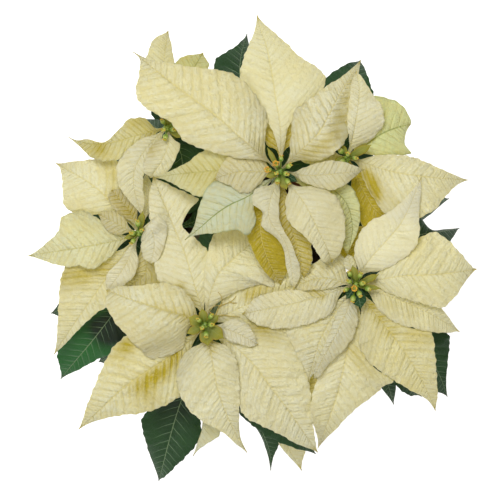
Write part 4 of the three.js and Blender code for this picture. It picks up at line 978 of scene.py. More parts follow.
def fine_grid(grid, grain=GRAIN):
    """Draws out a settled blade: places, heights, and its own measures along and aside."""
    last = len(grid["t"]) - 1
    length = lengths_along(grid["middle"])[-1]
    spread = max(np.linalg.norm(grid[side] - grid["middle"], axis=1).max() for side in ("left", "right"))
    rows, half = max(8, round(length / grain)), max(3, round(spread / grain))
    along_rib = np.linspace(0, length, rows + 1)
    t = share_to_t(lambda s: smooth(grid["middle"], s), np.linspace(0, 1, rows + 1))
    shares = np.linspace(-1, 1, 2 * half + 1)[None]
    u = abs(shares)
    middle, left, right = (smooth(grid[name], t)[:, None] for name in ("middle", "left", "right"))
    across_way = np.where(shares[..., None] > 0, left, right) - middle
    full = np.linalg.norm(across_way, axis=2, keepdims=True)
    station = (t * last)[:, None, None]
    draw = np.maximum(drawn_out(station, last), TIP_HALF / np.maximum(full, TIP_HALF))
    if grid["kind"] == "bract":
        narrow = np.clip(station / ROOT_STATIONS, 0, 1) ** ROOT_DRAW
        draw = draw * np.maximum(narrow, np.minimum(ROOT_HALF / np.maximum(full, 0.1), 1))
    beat = along_rib[:, None, None] + np.where(shares > 0, EDGE_LAG, 0)[..., None]
    uneven = np.sin(beat / LONG_BEAT + grid["turn"]) + np.sin(beat / SHORT_BEAT + 2 * grid["turn"])
    wander = EDGE_WANDER * uneven * np.clip(full / WANDER_FROM, 0, 1) / np.maximum(full, 1)
    side = middle + across_way * draw * (1 + wander)
    place = middle * (1 - u[..., None]) + side * u[..., None]
    reach = np.linalg.norm(side - middle, axis=2)
    height = across(smooth(grid["height"], t), shares)
    if grid["height"].shape[1] == 3:
        height = height + BULGE * (u - u * u) * reach
    ahead = np.gradient(middle[:, 0], axis=0)
    ahead /= np.linalg.norm(ahead, axis=1)[:, None]
    ahead_x, ahead_y = ahead[:, None, 0], ahead[:, None, 1]
    off = place - middle
    a = along_rib[:, None] + off[..., 0] * ahead_x + off[..., 1] * ahead_y
    b = abs(off[..., 0] * -ahead_y + off[..., 1] * ahead_x)
    return dict(grid, place=place, height=height, shares=shares, reach=reach, a=a, b=b, length=length,
                t=np.linspace(0, 1, rows + 1))


print("fine rows and columns of one bract:", fine_grid(grids[60])["height"].shape)

# %% Veins, pillows and wavy edges
LEAST_PITCH, PITCH_SHARE, MOST_PITCH = 2.8, 0.21, 12.0
BEFORE_ROOT, ROOT_PITCH = -60, LEAST_PITCH + 2
VEIN_LEAN, VEIN_BEND = 0.6, 0.006
ROOT_FADE, TIP_FADE = 0.15, 0.12
PILLOW, PILLOW_ROUND, PILLOW_FROM, PILLOW_TO = {"bract": 0.3, "leaf": 0.4}, 0.8, 3, 1.15
# Ripples and dents differ from blade to blade and from side to side, and need some breadth.
SIDE_PHASE = 1.9
RUFFLE, RUFFLE_LENGTH, RUFFLE_FROM = {"bract": 0.9, "leaf": 0.8}, 15.0, 12
BUCKLE, BUCKLE_FROM, MOST_CRINKLE = {"bract": 0.7, "leaf": 0.6}, 14, 2


def vein_turn(fine):
    """Counts the side veins along the blade: a whole number lies on a vein. They crowd at the tip."""
    along_rib = np.linspace(0, fine["length"], len(fine["t"]))
    breadth = (fine["reach"][:, 0] + fine["reach"][:, -1]) / 2
    pitch = np.minimum(LEAST_PITCH + PITCH_SHARE * breadth, MOST_PITCH)
    along_rib = np.concatenate([[BEFORE_ROOT], along_rib])
    pitch = np.concatenate([[ROOT_PITCH], pitch])
    steps = np.diff(along_rib) * 2 / (pitch[1:] + pitch[:-1])
    count = np.concatenate([[0], np.cumsum(steps)])
    origin = fine["a"] - VEIN_LEAN * fine["b"] - VEIN_BEND * fine["b"] ** 2
    return np.interp(origin, along_rib, count), np.interp(origin, along_rib, pitch)


def buckling(fine, phase):
    """Uneven broad dents, a few fingers wide, as thin skins have, and none on the midrib."""
    a, b = fine["a"], fine["b"]
    dents = np.sin(a / 6.1 + 1.7 * phase + 0.9 * np.sin(b / 5.3)) * np.cos(b / 7.7 + phase)
    dents = dents + 0.6 * np.sin(a / 3.4 - b / 4.6 + 2.9 * phase)
    return dents * np.clip(b / 6, 0, 1)


def swell(fine):
    """Raises the skin between the veins, and lets the edge ripple."""
    look, kind, a, b, reach = (fine[key] for key in ("look", "kind", "a", "b", "reach"))
    crinkle, pleat, fold = look.get("crinkle", 1.0), look.get("pleat", 0.0), look.get("fold", 0.0)
    is_left = fine["shares"] > 0
    turn, pitch = vein_turn(fine)
    turn = turn + np.where(is_left, 0.0, 0.5)
    u, t = abs(fine["shares"]), fine["t"][:, None]
    fade = np.clip(t / ROOT_FADE, 0, 1) * np.clip((1 - t) / TIP_FADE, 0, 1)
    pillow = abs(np.sin(np.pi * turn)) ** PILLOW_ROUND
    pillow = pillow * np.clip(b / PILLOW_FROM, 0, 1) * np.clip(PILLOW_TO - u, 0, 1)
    phase = GOLDEN_ANGLE * fine["turn"] + np.where(is_left, 0, SIDE_PHASE)
    wave = np.sin(2 * np.pi * a / RUFFLE_LENGTH + phase)
    wave = wave + 0.5 * np.sin(2 * np.pi * a / (0.43 * RUFFLE_LENGTH) + 2.1 * phase)
    ruffle = RUFFLE[kind] * u**3 * wave * np.clip(reach / RUFFLE_FROM, 0, 1)
    buckle = BUCKLE[kind] * buckling(fine, phase) * np.clip(reach / BUCKLE_FROM, 0, 1)
    ripples = min(crinkle, MOST_CRINKLE) * (ruffle + buckle)
    lift = ((crinkle + pleat) * PILLOW[kind] * pillow + ripples) * fade
    lift = lift + (fold * u if fold > 0 else -fold * (1 - u)) * reach * fade
    return dict(fine, height=fine["height"] + lift, vein=turn, pitch=pitch)


print("side veins of one bract:", round(swell(fine_grid(grids[60]))["vein"].max()))

# %% [markdown]
# ## Fine clearance
#
# The pillows and ripples add a little height, so the fine skins are laid once more over a finer height
# map. A skin that comes too near one below is eased up, and the ease is spread so that no dent shows.

# %% Ease the fine skins apart
FINE_CELL = 1.25
FINE_CELLS = int(SHEET / FINE_CELL)
FINE_GAP, FINE_ENOUGH = 0.45, 0.02
FINE_PASSES, FINE_SOFTEN = 25, 10
BOTH_WAYS = (slice(0, -1), slice(1, None))
fine_laid = np.full((FINE_CELLS, FINE_CELLS), BARE)


def fine_cell(place):
    spot = np.floor((place + SHEET / 2) / FINE_CELL).astype(int)
    return spot[..., 1], spot[..., 0]


def spread_rise(rise):
    padded = np.pad(rise, 1, mode="edge")
    return (padded[:-2, 1:-1] + padded[2:, 1:-1] + padded[1:-1, :-2] + padded[1:-1, 2:] + 2 * rise) / 6


def centres(values):
    """The middle of each face of a grid, from its four corners."""
    return (values[:-1, :-1] + values[1:, :-1] + values[:-1, 1:] + values[1:, 1:]) / 4


def depth_of(fine):
    """The thickness of the skin: a round stalk at the root, and a rib that stands out below."""
    t, b = fine["t"][:, None], fine["b"]
    stalk = STALK_DEPTH * np.clip(1 - t / STALK_SHARE, 0, 1) * np.clip(1 - (b / STALK_ROUND) ** 2, 0, 1)
    rib = RIB_DEPTH * np.clip(1 - b / RIB_HALF, 0, 1) * (1 - t) ** 0.8
    return np.maximum(stalk, rib)


def ease(fine):
    """Lifts a fine skin off those below it, and adds it to the fine height map."""
    place, height = fine["place"], fine["height"].copy()
    depth = depth_of(fine)

    def needed(spots):
        want = fine_laid[fine_cell(spots)] + FINE_GAP
        free = np.linalg.norm(spots - fine["root"][:2], axis=-1) < HUB_CLEAR
        if fine["kind"] == "bract":
            free |= np.linalg.norm(spots - BLOOMS[fine["home"]]["plan"], axis=-1) < HUB_CLEAR
        return np.where(free, BARE, want)

    want_corner, want_centre = needed(place), needed(centres(place))
    for step in range(FINE_PASSES):
        low = height - depth
        short = np.maximum(want_corner - low, 0) * (want_corner > 0)
        gap = np.maximum(want_centre - centres(low), 0) * (want_centre > 0)
        for rows in BOTH_WAYS:
            for columns in BOTH_WAYS:
                short[rows, columns] = np.maximum(short[rows, columns], gap)
        if short.max() < FINE_ENOUGH:
            break
        soft = short
        for _ in range(FINE_SOFTEN if step < FINE_PASSES // 2 else 1):
            soft = np.maximum(short, spread_rise(soft))
        soft[0] = 0
        height += soft
    top = height + SHELL
    for spots, tops in ((place, top), (centres(place), centres(top))):
        np.maximum.at(fine_laid, fine_cell(spots), tops)
    return dict(fine, height=height, depth=depth, eased=(height - fine["height"]).max())


skins = [ease(swell(fine_grid(grid))) for grid in grids]
print("skins", len(skins), "most eased by", round(max(skin["eased"] for skin in skins), 1), "mm")
print("triangles to come", sum(4 * (s["height"].shape[0] - 1) * (s["height"].shape[1] - 1) for s in skins))

# %% [markdown]
# ## Turning numbers into meshes
#
# Every skin becomes a closed shell: an upper face, an under face and a narrow wall round the edge. The
# shells of one bloom or branch are put in one mesh. Face corners carry the vein measures as a UV map,
# and points carry a colour called tone, by which one material can serve pale and greenish bracts, and
# which also carries painted shade.


# %% One mesh from many shells
def shell(points, faces, uv=None, tone=(0, 0, 0, 0), under=0.0, relief=1.0, edge=0.0, stuff=0, flat=None):
    """One closed shell: points in millimetres, and faces as a list of arrays of point numbers."""
    corners = sum(part.size for part in faces)
    count = sum(len(part) for part in faces)
    made = dict(points=np.asarray(points, float), faces=faces, stuff=np.full(count, stuff),
                uv=np.zeros((corners, 2)) if uv is None else uv,
                tone=np.broadcast_to(np.asarray(tone, float), (len(points), 4)),
                flat=np.zeros(count, bool) if flat is None else flat)
    for measure, value in (("under", under), ("relief", relief), ("edge", edge)):
        made[measure] = np.broadcast_to(np.asarray(value, float), (len(points),))
    return made


def make_mesh(name, shells, finishes):
    """Joins shells into one mesh object at the origin."""
    def joined(key):
        return np.concatenate([s[key] for s in shells])

    points = joined("points") * MM
    starts = np.cumsum([0] + [len(s["points"]) for s in shells])
    corners, sizes = [], []
    for start, s in zip(starts, shells):
        for part in s["faces"]:
            corners.append((part + start).ravel())
            sizes.append(np.full(len(part), part.shape[1]))
    corners, sizes = np.concatenate(corners), np.concatenate(sizes)
    mesh = bpy.data.meshes.new(name)
    mesh.vertices.add(len(points))
    mesh.vertices.foreach_set("co", points.ravel())
    mesh.loops.add(len(corners))
    mesh.loops.foreach_set("vertex_index", corners)
    mesh.polygons.add(len(sizes))
    mesh.polygons.foreach_set("loop_start", np.concatenate([[0], np.cumsum(sizes)[:-1]]))
    mesh.polygons.foreach_set("material_index", joined("stuff"))
    mesh.update(calc_edges=True)
    mesh.attributes.new("sharp_face", "BOOLEAN", "FACE").data.foreach_set("value", joined("flat"))
    mesh.uv_layers.new(name="veins").data.foreach_set("uv", joined("uv").ravel())
    mesh.attributes.new("tone", "FLOAT_COLOR", "POINT").data.foreach_set("color", joined("tone").ravel())
    for measure in ("under", "relief", "edge"):
        mesh.attributes.new(measure, "FLOAT", "POINT").data.foreach_set("value", joined(measure))
    for finish in finishes:
        mesh.materials.append(finish)
    return set_up(name, mesh)


def place_piece(piece, slot, *nodes):
    """Says what a finished piece stands for."""
    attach(piece, "root")
    if nodes:
        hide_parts(*nodes)
    print(piece.name, "polygons", len(piece.data.polygons), "slot", slot)


# %% A skin as a closed shell
def skin_shell(skin, tone, stuff=0):
    """An upper and an under face with a wall round the edge. The upper one takes the finish stuff."""
    rows, columns = skin["height"].shape
    number = np.arange(rows * columns).reshape(rows, columns)
    count = rows * columns
    low = np.dstack([skin["place"], skin["height"] - skin["depth"]]).reshape(-1, 3)
    high = np.dstack([skin["place"], skin["height"] + SHELL]).reshape(-1, 3)
    a, b, c, d = number[:-1, :-1], number[1:, :-1], number[1:, 1:], number[:-1, 1:]
    upper = np.stack([a, b, c, d], -1).reshape(-1, 4)
    rim = [(number[:-1, 0], number[1:, 0]), (number[1:, -1], number[:-1, -1]),
           (number[0, 1:], number[0, :-1]), (number[-1, :-1], number[-1, 1:])]
    wall = np.concatenate([np.stack([q + count, p + count, p, q], -1) for p, q in rim])
    faces = np.concatenate([upper + count, upper[:, ::-1], wall])
    aside = np.sign(skin["shares"]) * skin["b"] / skin["pitch"]
    uv = np.stack([skin["vein"], aside], -1).reshape(-1, 2)
    uv = np.concatenate([uv, uv])[faces.ravel()]
    # Side veins leave the midrib in turns, so the left faces count half a vein less on it.
    middle = (columns - 1) // 2
    is_left = np.tile(np.arange(columns - 1) >= middle, rows - 1)
    is_left = np.concatenate([is_left, is_left, np.zeros(len(wall), bool)])
    on_rib = (faces % columns == middle).ravel()
    uv[:, 0] -= 0.5 * (np.repeat(is_left, 4) & on_rib)
    flat = np.concatenate([np.zeros(2 * len(upper), bool), np.ones(len(wall), bool)])
    under = np.concatenate([np.ones(count), np.zeros(count)])
    tone = np.concatenate([tone.reshape(-1, 4)] * 2)
    relief = skin["look"].get("crinkle", 1.0)
    edge = np.tile(np.broadcast_to(np.abs(skin["shares"]), (rows, columns)).ravel(), 2)
    made = shell(np.concatenate([low, high]), [faces], uv, tone, under, relief, edge, stuff, flat)
    made["stuff"][len(upper):2 * len(upper)] = stuff + 1
    return made


# %% The tone of a skin
# Gold near the root is in part the bases' own yellow and in part painted shade where bracts crowd. Gold at
# the tip is a dry tip. shade and spots are painted shade: gold on a bract, near black on a leaf.
ROOT_GOLD, ROOT_GOLD_END, ROOT_GOLD_FALL = 0.3, 0.3, 1.5
TIP_GOLD, TIP_GOLD_START, TIP_GOLD_STEP = 0.75, 0.95, 0.04
SHADE_END, SHADE_STEP = 0.8, 0.25
PAINTED_SHADE_DEPTH = {"bract": 0.7, "leaf": 1.0}
CHANCE_PALE = 0.4


def skin_tone(skin):
    """Red: green tinge. Green: mint pallor; on a leaf, a green painted as light. Blue: painted shade,
    with the gold of dry tips and, in part, of bract bases. Alpha: how pale, in part painted light.
    """
    look = skin["look"]
    t = np.broadcast_to(skin["t"][:, None], skin["height"].shape)
    shade_end = look.get("shade_end", SHADE_END)
    gold_and_painted_shade = ROOT_GOLD * np.clip(1 - t / ROOT_GOLD_END, 0, 1) ** ROOT_GOLD_FALL
    gold_and_painted_shade = gold_and_painted_shade + look.get("shade", 0.0) * np.clip((shade_end - t) / SHADE_STEP, 0, 1)
    for spot in look.get("spots", "").split():
        x, y, radius, strength = map(float, spot.split(","))
        distance = np.linalg.norm(skin["place"] - on_sheet(x, y), axis=-1)
        gold_and_painted_shade = gold_and_painted_shade + PAINTED_SHADE_DEPTH[skin["kind"]] * strength * np.exp(-(distance / radius) ** 2)
    gold_and_painted_shade = gold_and_painted_shade + TIP_GOLD * np.clip((t - TIP_GOLD_START) / TIP_GOLD_STEP, 0, 1)
    chance = (skin["turn"] * 0.618034) % 1
    pale = max(CHANCE_PALE * chance, look.get("pale", 0.0))
    same = np.ones_like(t)
    return np.stack([look.get("green", 0.0) * same, look.get("mint", 0.0) * same,
                     np.clip(gold_and_painted_shade, 0, 1), pale * same], -1)


def shells_of(kind, home):
    """The shells of all bracts or leaves that belong to one bloom or branch."""
    return [skin_shell(s, skin_tone(s)) for s in skins if s["kind"] == kind and s["home"] == home]


print("faces of the lowest skin:", len(skin_shell(skins[0], skin_tone(skins[0]))["stuff"]))

# %% [markdown]
# ## Finishes
#
# Plants are never one flat colour. A bract is cream, with gold painted shade in its folds and where
# others cover it, yellow-green veins and a skin that lets light through. Patterns that several finishes
# share are node groups, each made once: the veins of a blade, and a soft mottle. The shader itself stays
# in each material.


# %% Short hands for wiring nodes
def rgb(red, green, blue):
    return (red, green, blue, 1)


class Wires:
    """Adds nodes to one tree. A value may be a number or another node's output."""

    def __init__(self, tree):
        self.tree = tree

    def node(self, kind, values=(), **settings):
        made = self.tree.nodes.new(kind)
        for key, value in settings.items():
            setattr(made, key, value)
        for socket, value in dict(values).items():
            self.put(made.inputs[socket], value)
        return made

    def put(self, socket, value):
        if isinstance(value, bpy.types.NodeSocket):
            self.tree.links.new(value, socket)
        else:
            socket.default_value = value

    def math(self, operation, first, second=0.0, clamp=False):
        values = {0: first, 1: second}
        return self.node("ShaderNodeMath", values, operation=operation, use_clamp=clamp).outputs[0]

    def add(self, first, second):
        return self.math("ADD", first, second)

    def less(self, first, second):
        return self.math("SUBTRACT", first, second)

    def times(self, first, second):
        return self.math("MULTIPLY", first, second)

    def ramp(self, value, low, high):
        """0 at low and 1 at high, smoothly. low may be the larger one."""
        values = {"Value": value, "From Min": low, "From Max": high}
        return self.node("ShaderNodeMapRange", values, interpolation_type="SMOOTHSTEP").outputs[0]

    def blend(self, factor, first, second):
        made = self.node("ShaderNodeMix", data_type="RGBA")
        for socket, value in zip((made.inputs[0], made.inputs[6], made.inputs[7]), (factor, first, second)):
            self.put(socket, value)
        return made.outputs[2]

    def coats(self, colour, *layers):
        """Lays coats over a colour, one by one: where each shows, how strongly, and its own colour."""
        for share, strength, shade in layers:
            colour = self.blend(self.times(share, strength), colour, rgb(*shade))
        return colour

    def noise(self, vector, scale, detail=2.0, roughness=0.5):
        values = {"Vector": vector, "Scale": scale, "Detail": detail, "Roughness": roughness}
        return self.node("ShaderNodeTexNoise", values).outputs["Fac"]

    def cells(self, vector, scale, feature="F1"):
        values = {"Vector": vector, "Scale": scale}
        return self.node("ShaderNodeTexVoronoi", values, feature=feature).outputs["Distance"]

    def split(self, vector):
        return self.node("ShaderNodeSeparateXYZ", {0: vector}).outputs


def new_group(name, inputs, outputs, kind="ShaderNodeTree"):
    """An empty node group, ready to be wired. Each input and output is a name with its socket kind."""
    tree = bpy.data.node_groups.new(name, kind)
    for way, sockets in (("OUTPUT", outputs), ("INPUT", inputs)):
        for socket_name, socket_kind in sockets.items():
            tree.interface.new_socket(socket_name, in_out=way, socket_type="NodeSocket" + socket_kind)
    return Wires(tree), tree.nodes.new("NodeGroupInput").outputs, tree.nodes.new("NodeGroupOutput").inputs


# %% The veins of a blade, as a shared group
wires, given, result = new_group("blade veins", {"Measures": "Vector", "Net Scale": "Float"},
                                 dict.fromkeys(("Rib", "Veins", "Net", "Relief"), "Float"))


def nearness(count):
    """How far the nearest whole number is."""
    return wires.math("ABSOLUTE", wires.less(wires.math("FRACT", wires.add(count, 0.5)), 0.5))


split = wires.split(given["Measures"])
aside = wires.math("ABSOLUTE", split["Y"])
wander = wires.times(wires.less(wires.noise(given["Measures"], 1.3), 0.5), 0.22)
count = wires.add(split["X"], wires.times(wander, wires.ramp(aside, 0.0, 0.8)))
near, half_near = nearness(count), nearness(wires.times(count, 2.0))
net = wires.ramp(wires.cells(given["Measures"], given["Net Scale"], "DISTANCE_TO_EDGE"), 0.11, 0.0)
herringbone = wires.times(wires.ramp(half_near, 0.0, 0.4), wires.ramp(aside, 2.4, 0.2))
relief = wires.add(wires.times(wires.ramp(near, 0.0, 0.35), 0.55), wires.times(herringbone, 0.4))
relief = wires.less(relief, wires.times(net, 0.3))
relief = wires.less(relief, wires.times(wires.ramp(aside, 0.2, 0.0), 0.5))
wires.put(result["Rib"], wires.ramp(aside, 0.10, 0.02))
wires.put(result["Veins"], wires.times(wires.ramp(near, 0.075, 0.015), wires.ramp(aside, 3.2, 0.4)))
wires.put(result["Net"], net)
wires.put(result["Relief"], relief)
VEIN_GROUP = wires.tree
print("shared group:", VEIN_GROUP.name)

# %% A soft mottle, as a shared group
wires, given, result = new_group("mottle", {"Place": "Vector", "Scale": "Float"},
                                 dict.fromkeys(("Broad", "Fine", "Creases"), "Float"))
wires.put(result["Broad"], wires.ramp(wires.noise(given["Place"], given["Scale"], 3), 0.32, 0.68))
wires.put(result["Fine"], wires.noise(given["Place"], wires.times(given["Scale"], 14.0), 4, 0.6))
uneven = wires.noise(given["Place"], wires.times(given["Scale"], 4.5), 2, 0.55)
wires.put(result["Creases"], wires.ramp(wires.math("ABSOLUTE", wires.less(uneven, 0.5)), 0.0, 0.16))
MOTTLE_GROUP = wires.tree
print("shared group:", MOTTLE_GROUP.name)


# %% What the finishes share
def new_finish(name):
    material = bpy.data.materials.new(name)
    material.use_nodes = True
    tree = material.node_tree
    return material, Wires(tree), tree.nodes["Principled BSDF"]


def use_group(wires, tree, values):
    return wires.node("ShaderNodeGroup", values, node_tree=tree).outputs


def own_place(wires):
    return wires.node("ShaderNodeTexCoord").outputs["Object"]


def mottling(wires, scale):
    return use_group(wires, MOTTLE_GROUP, {"Place": own_place(wires), "Scale": scale})


def veining(wires, net_scale):
    measures = wires.node("ShaderNodeUVMap", uv_map="veins").outputs["UV"]
    return use_group(wires, VEIN_GROUP, {"Measures": measures, "Net Scale": net_scale})


def tones(wires):
    """The four parts of the colour attribute tone."""
    tone = wires.node("ShaderNodeAttribute", attribute_name="tone").outputs
    split = wires.node("ShaderNodeSeparateColor", {0: tone["Color"]}).outputs
    return split[0], split[1], split[2], tone["Alpha"]


def measure(wires, name):
    """One of the point attributes under, relief and edge."""
    return wires.node("ShaderNodeAttribute", attribute_name=name).outputs["Fac"]


def dress(wires, surface, colour, mottle, rough, uneven=0.2):
    """Gives a surface its colour, and a roughness that the fine mottle makes uneven."""
    wires.put(surface.inputs["Base Color"], colour)
    wires.put(surface.inputs["Roughness"], wires.add(wires.times(mottle["Fine"], uneven), rough))


def see_through(wires, surface, share, glow):
    """Lets some light through a thin skin."""
    soft = wires.node("ShaderNodeBsdfTranslucent", {"Color": rgb(*glow)})
    mixed = wires.node("ShaderNodeMixShader", {0: share, 1: surface.outputs[0], 2: soft.outputs[0]})
    output = wires.tree.nodes["Material Output"]
    wires.put(output.inputs["Surface"], mixed.outputs[0])
    wires.put(soft.inputs["Normal"], surface.inputs["Normal"].links[0].from_socket)


def bump(wires, surface, height, strength, distance):
    made = wires.node("ShaderNodeBump", {"Height": height, "Strength": strength, "Distance": distance})
    wires.put(surface.inputs["Normal"], made.outputs[0])


# %% [markdown]
# A cream bract is never plain. Its skin has painted shade, deeper in the hollows and gold where others
# shade it, and some are tinged with green. A painted picture could not follow every blade, so coats of
# colour are laid one over another, each through a mask that comes from the blade's own measures.


# %% The cream bract
def bract_finish(name, passing):
    """passing is the share of light that goes through this face of the bract."""
    material, wires, surface = new_finish(name)
    veins, mottle = veining(wires, 3.4), mottling(wires, 22.0)
    green, mint, painted_shade_and_tip, pale = tones(wires)
    relief, edge = measure(wires, "relief"), measure(wires, "edge")
    # Shade is painted deeper in the hollows, and the gold painted shade is broken up by them.
    raised = wires.add(veins["Relief"], wires.times(mottle["Creases"], 0.7))
    raised = wires.add(raised, wires.times(mottle["Fine"], 2.0))
    painted_crease_shade = wires.times(wires.ramp(raised, 2.2, 1.1), wires.times(relief, 0.34))
    uneven = wires.add(wires.times(veins["Relief"], -1.0), wires.times(mottle["Fine"], 1.6))
    gold_and_painted_shade = wires.math("MULTIPLY", painted_shade_and_tip, wires.add(wires.times(uneven, 0.7), 0.85), clamp=True)
    gold_and_painted_shade = wires.times(gold_and_painted_shade, wires.ramp(edge, 1.05, 0.92))
    # A bract with a green tinge has green veins and a green rim.
    tint = wires.math("MAXIMUM", green, mint)
    green_veins = wires.times(veins["Veins"], wires.times(tint, 0.45))
    rim = wires.times(wires.ramp(edge, 0.9, 1.0), wires.times(tint, 0.65))
    colour = wires.blend(mottle["Broad"], rgb(0.87, 0.87, 0.70), rgb(0.85, 0.82, 0.58))
    # In these coats, pale is in part painted light on bracts that lie in shade, and the crease coat and the
    # gold coat are painted shade.
    colour = wires.coats(
        colour,
        (pale, 0.7, (0.95, 0.94, 0.79)),
        (green, 0.8, (0.64, 0.76, 0.36)),
        (mint, 0.8, (0.62, 0.73, 0.60)),
        (painted_crease_shade, 1.0, (0.76, 0.66, 0.28)),
        (veins["Net"], 0.12, (0.78, 0.74, 0.44)),
        (veins["Veins"], 0.1, (0.80, 0.74, 0.40)),
        (gold_and_painted_shade, 1.0, (0.50, 0.39, 0.03)),
        (green_veins, 1.0, (0.24, 0.36, 0.10)),
        (rim, 1.0, (0.42, 0.52, 0.30)))
    rib_colour = wires.blend(tint, rgb(0.78, 0.70, 0.34), rgb(0.14, 0.28, 0.08))
    rib_share = wires.add(wires.times(tint, 0.4), 0.6)
    colour = wires.blend(wires.times(veins["Rib"], rib_share), colour, rib_colour)
    colour = wires.coats(colour, (measure(wires, "under"), 0.3, (0.74, 0.78, 0.50)))
    dress(wires, surface, colour, mottle, rough=0.42)
    surface.inputs["Specular IOR Level"].default_value = 0.3
    height = wires.times(veins["Relief"], wires.math("MINIMUM", relief, 1.1))
    height = wires.add(height, wires.times(mottle["Fine"], 1.8))
    crumple = wires.times(wires.math("MINIMUM", relief, 1.3), 0.6)
    height = wires.add(height, wires.times(mottle["Creases"], crumple))
    bump(wires, surface, height, strength=1.0, distance=0.0007)
    see_through(wires, surface, passing, glow=(0.92, 0.84, 0.16))
    return material


BRACT_SKINS = [bract_finish("bract_upper", 0.3), bract_finish("bract_under", 0.5)]
print("finishes:", [finish.name for finish in BRACT_SKINS])

# %% [markdown]
# A green leaf is far darker, and its pale veins stand out. It is made like the bract, from the same
# groups with other numbers, so that both look like blades of one plant.


# %% The green leaf
def leaf_finish(name, passing):
    """On a leaf the tone's green part is a lighter green painted as light, and its blue part painted shade.
    """
    material, wires, surface = new_finish(name)
    veins, mottle = veining(wires, 3.0), mottling(wires, 18.0)
    _, painted_lit_green, painted_shade_and_tip, pale = tones(wires)
    colour = wires.blend(mottle["Broad"], rgb(0.013, 0.046, 0.014), rgb(0.022, 0.074, 0.020))
    colour = wires.coats(
        colour,
        (pale, 0.8, (0.032, 0.085, 0.030)),
        (veins["Net"], 0.25, (0.040, 0.11, 0.05)),
        (painted_lit_green, 1.0, (0.022, 0.135, 0.030)),
        (painted_shade_and_tip, 1.0, (0.006, 0.016, 0.009)),
        (wires.ramp(veins["Veins"], 0.3, 1.0), 0.8, (0.17, 0.27, 0.15)),
        (wires.ramp(veins["Rib"], 0.3, 1.0), 0.8, (0.22, 0.31, 0.17)),
        (measure(wires, "under"), 0.6, (0.13, 0.20, 0.10)))
    dress(wires, surface, colour, mottle, rough=0.38)
    surface.inputs["Specular IOR Level"].default_value = 0.3
    height = wires.add(veins["Relief"], wires.times(mottle["Fine"], 0.2))
    bump(wires, surface, height, strength=0.8, distance=0.0008)
    see_through(wires, surface, passing, glow=(0.16, 0.32, 0.03))
    return material


LEAF_SKINS = [leaf_finish("leaf_upper", 0.10), leaf_finish("leaf_under", 0.30)]
print("finishes:", [finish.name for finish in LEAF_SKINS])

# %% [markdown]
# ## Bracts and leaves
#
# Each bloom's bracts make one piece, and each branch's leaves another. The stem end that the bracts
# spring from is a short green cylinder, made with them because it grows as one with their stalks.


# %% A turned shell, for stem ends, cups and the like
def lathe(profile, sides, foot, lean=UP, bearing=0.0, **look):
    """Turns [radius, height] pairs about an axis that leaves foot in the direction lean."""
    lean = unit(np.asarray(lean, float))
    first = np.array([math.cos(bearing), math.sin(bearing), 0.0])
    first = unit(first - lean * first.dot(lean))
    second = np.cross(lean, first)
    angles = np.arange(sides) * 2 * np.pi / sides
    ring = np.cos(angles)[:, None] * first + np.sin(angles)[:, None] * second
    inner = [(r, h) for r, h in profile if r > 0]
    points = np.concatenate([foot + r * ring + h * lean for r, h in inner])
    ends = [foot + h * lean for r, h in (profile[0], profile[-1])]
    points = np.concatenate([points, ends])
    number = np.arange(len(inner) * sides).reshape(len(inner), sides)
    turned = np.roll(number, -1, axis=1)
    walls = np.stack([number[:-1], turned[:-1], turned[1:], number[1:]], -1).reshape(-1, 4)
    bottom, top = len(points) - 2, len(points) - 1
    caps = np.concatenate([
        np.stack([turned[0], number[0], np.full(sides, bottom)], -1),
        np.stack([number[-1], turned[-1], np.full(sides, top)], -1)])
    return shell(points, [walls, caps], **look)


# %% The bracts of each bloom
HUB_RADIUS, HUB_FOOT_RADIUS, HUB_BEVEL, HUB_SIDES = 4.0, 3.4, 0.6, 20
HUB_TONE = (1, 0, 0.3, 0.2)
hub_outline = [(0, 0), (HUB_FOOT_RADIUS, 0), (HUB_RADIUS, 0.7 * HUB_LENGTH),
               (HUB_RADIUS, HUB_LENGTH - HUB_BEVEL), (HUB_RADIUS - HUB_BEVEL, HUB_LENGTH), (0, HUB_LENGTH)]
for name, one in BLOOMS.items():
    foot = np.array([*one["plan"], one["top"] - HUB_LENGTH])
    stem_end = lathe(hub_outline, HUB_SIDES, foot, tone=HUB_TONE)
    piece = make_mesh("bracts_" + name, shells_of("bract", name) + [stem_end], BRACT_SKINS)
    place_piece(piece, "bract", f"bloom_{name}_bracts")

# %% The leaves of each branch
for name in BLOOMS:
    piece = make_mesh("leaves_" + name, shells_of("leaf", name), LEAF_SKINS)
    place_piece(piece, "leaf", f"branch_{name}")

# %% [markdown]
# ## Stems
#
# Young poinsettia stems are smooth and green, and turn brown and corky below. A stem follows a path,
# so Geometry Nodes sweep a circle along it, thicker at the foot and swollen a little at each joint.
# A second tree sets the scars of fallen leaves up the stem in a spiral, as they stand on a real one.


# %% Wiring Geometry Nodes
def new_tree(name, inputs):
    """An empty Geometry Nodes tree with one geometry socket each way and named inputs."""
    return new_group(name, {"Geometry": "Geometry", **inputs}, {"Geometry": "Geometry"}, "GeometryNodeTree")


def hand_out(wires, result, copies, finish=None, smooth=False):
    """Makes the copies real, smooth and painted where asked, as what the tree gives out."""
    made = wires.node("GeometryNodeRealizeInstances", {0: copies.outputs[0]})
    if smooth:
        made = wires.node("GeometryNodeSetShadeSmooth", {0: made.outputs[0], "Shade Smooth": True})
    if finish is not None:
        made = wires.node("GeometryNodeSetMaterial", {0: made.outputs[0], "Material": finish})
    wires.put(result["Geometry"], made.outputs[0])
    print("tree:", wires.tree.name)
    return wires.tree


def random_vector(wires, low, high, seed):
    values = {0: low, 1: high, "Seed": seed}
    return wires.node("FunctionNodeRandomValue", values, data_type="FLOAT_VECTOR").outputs[0]


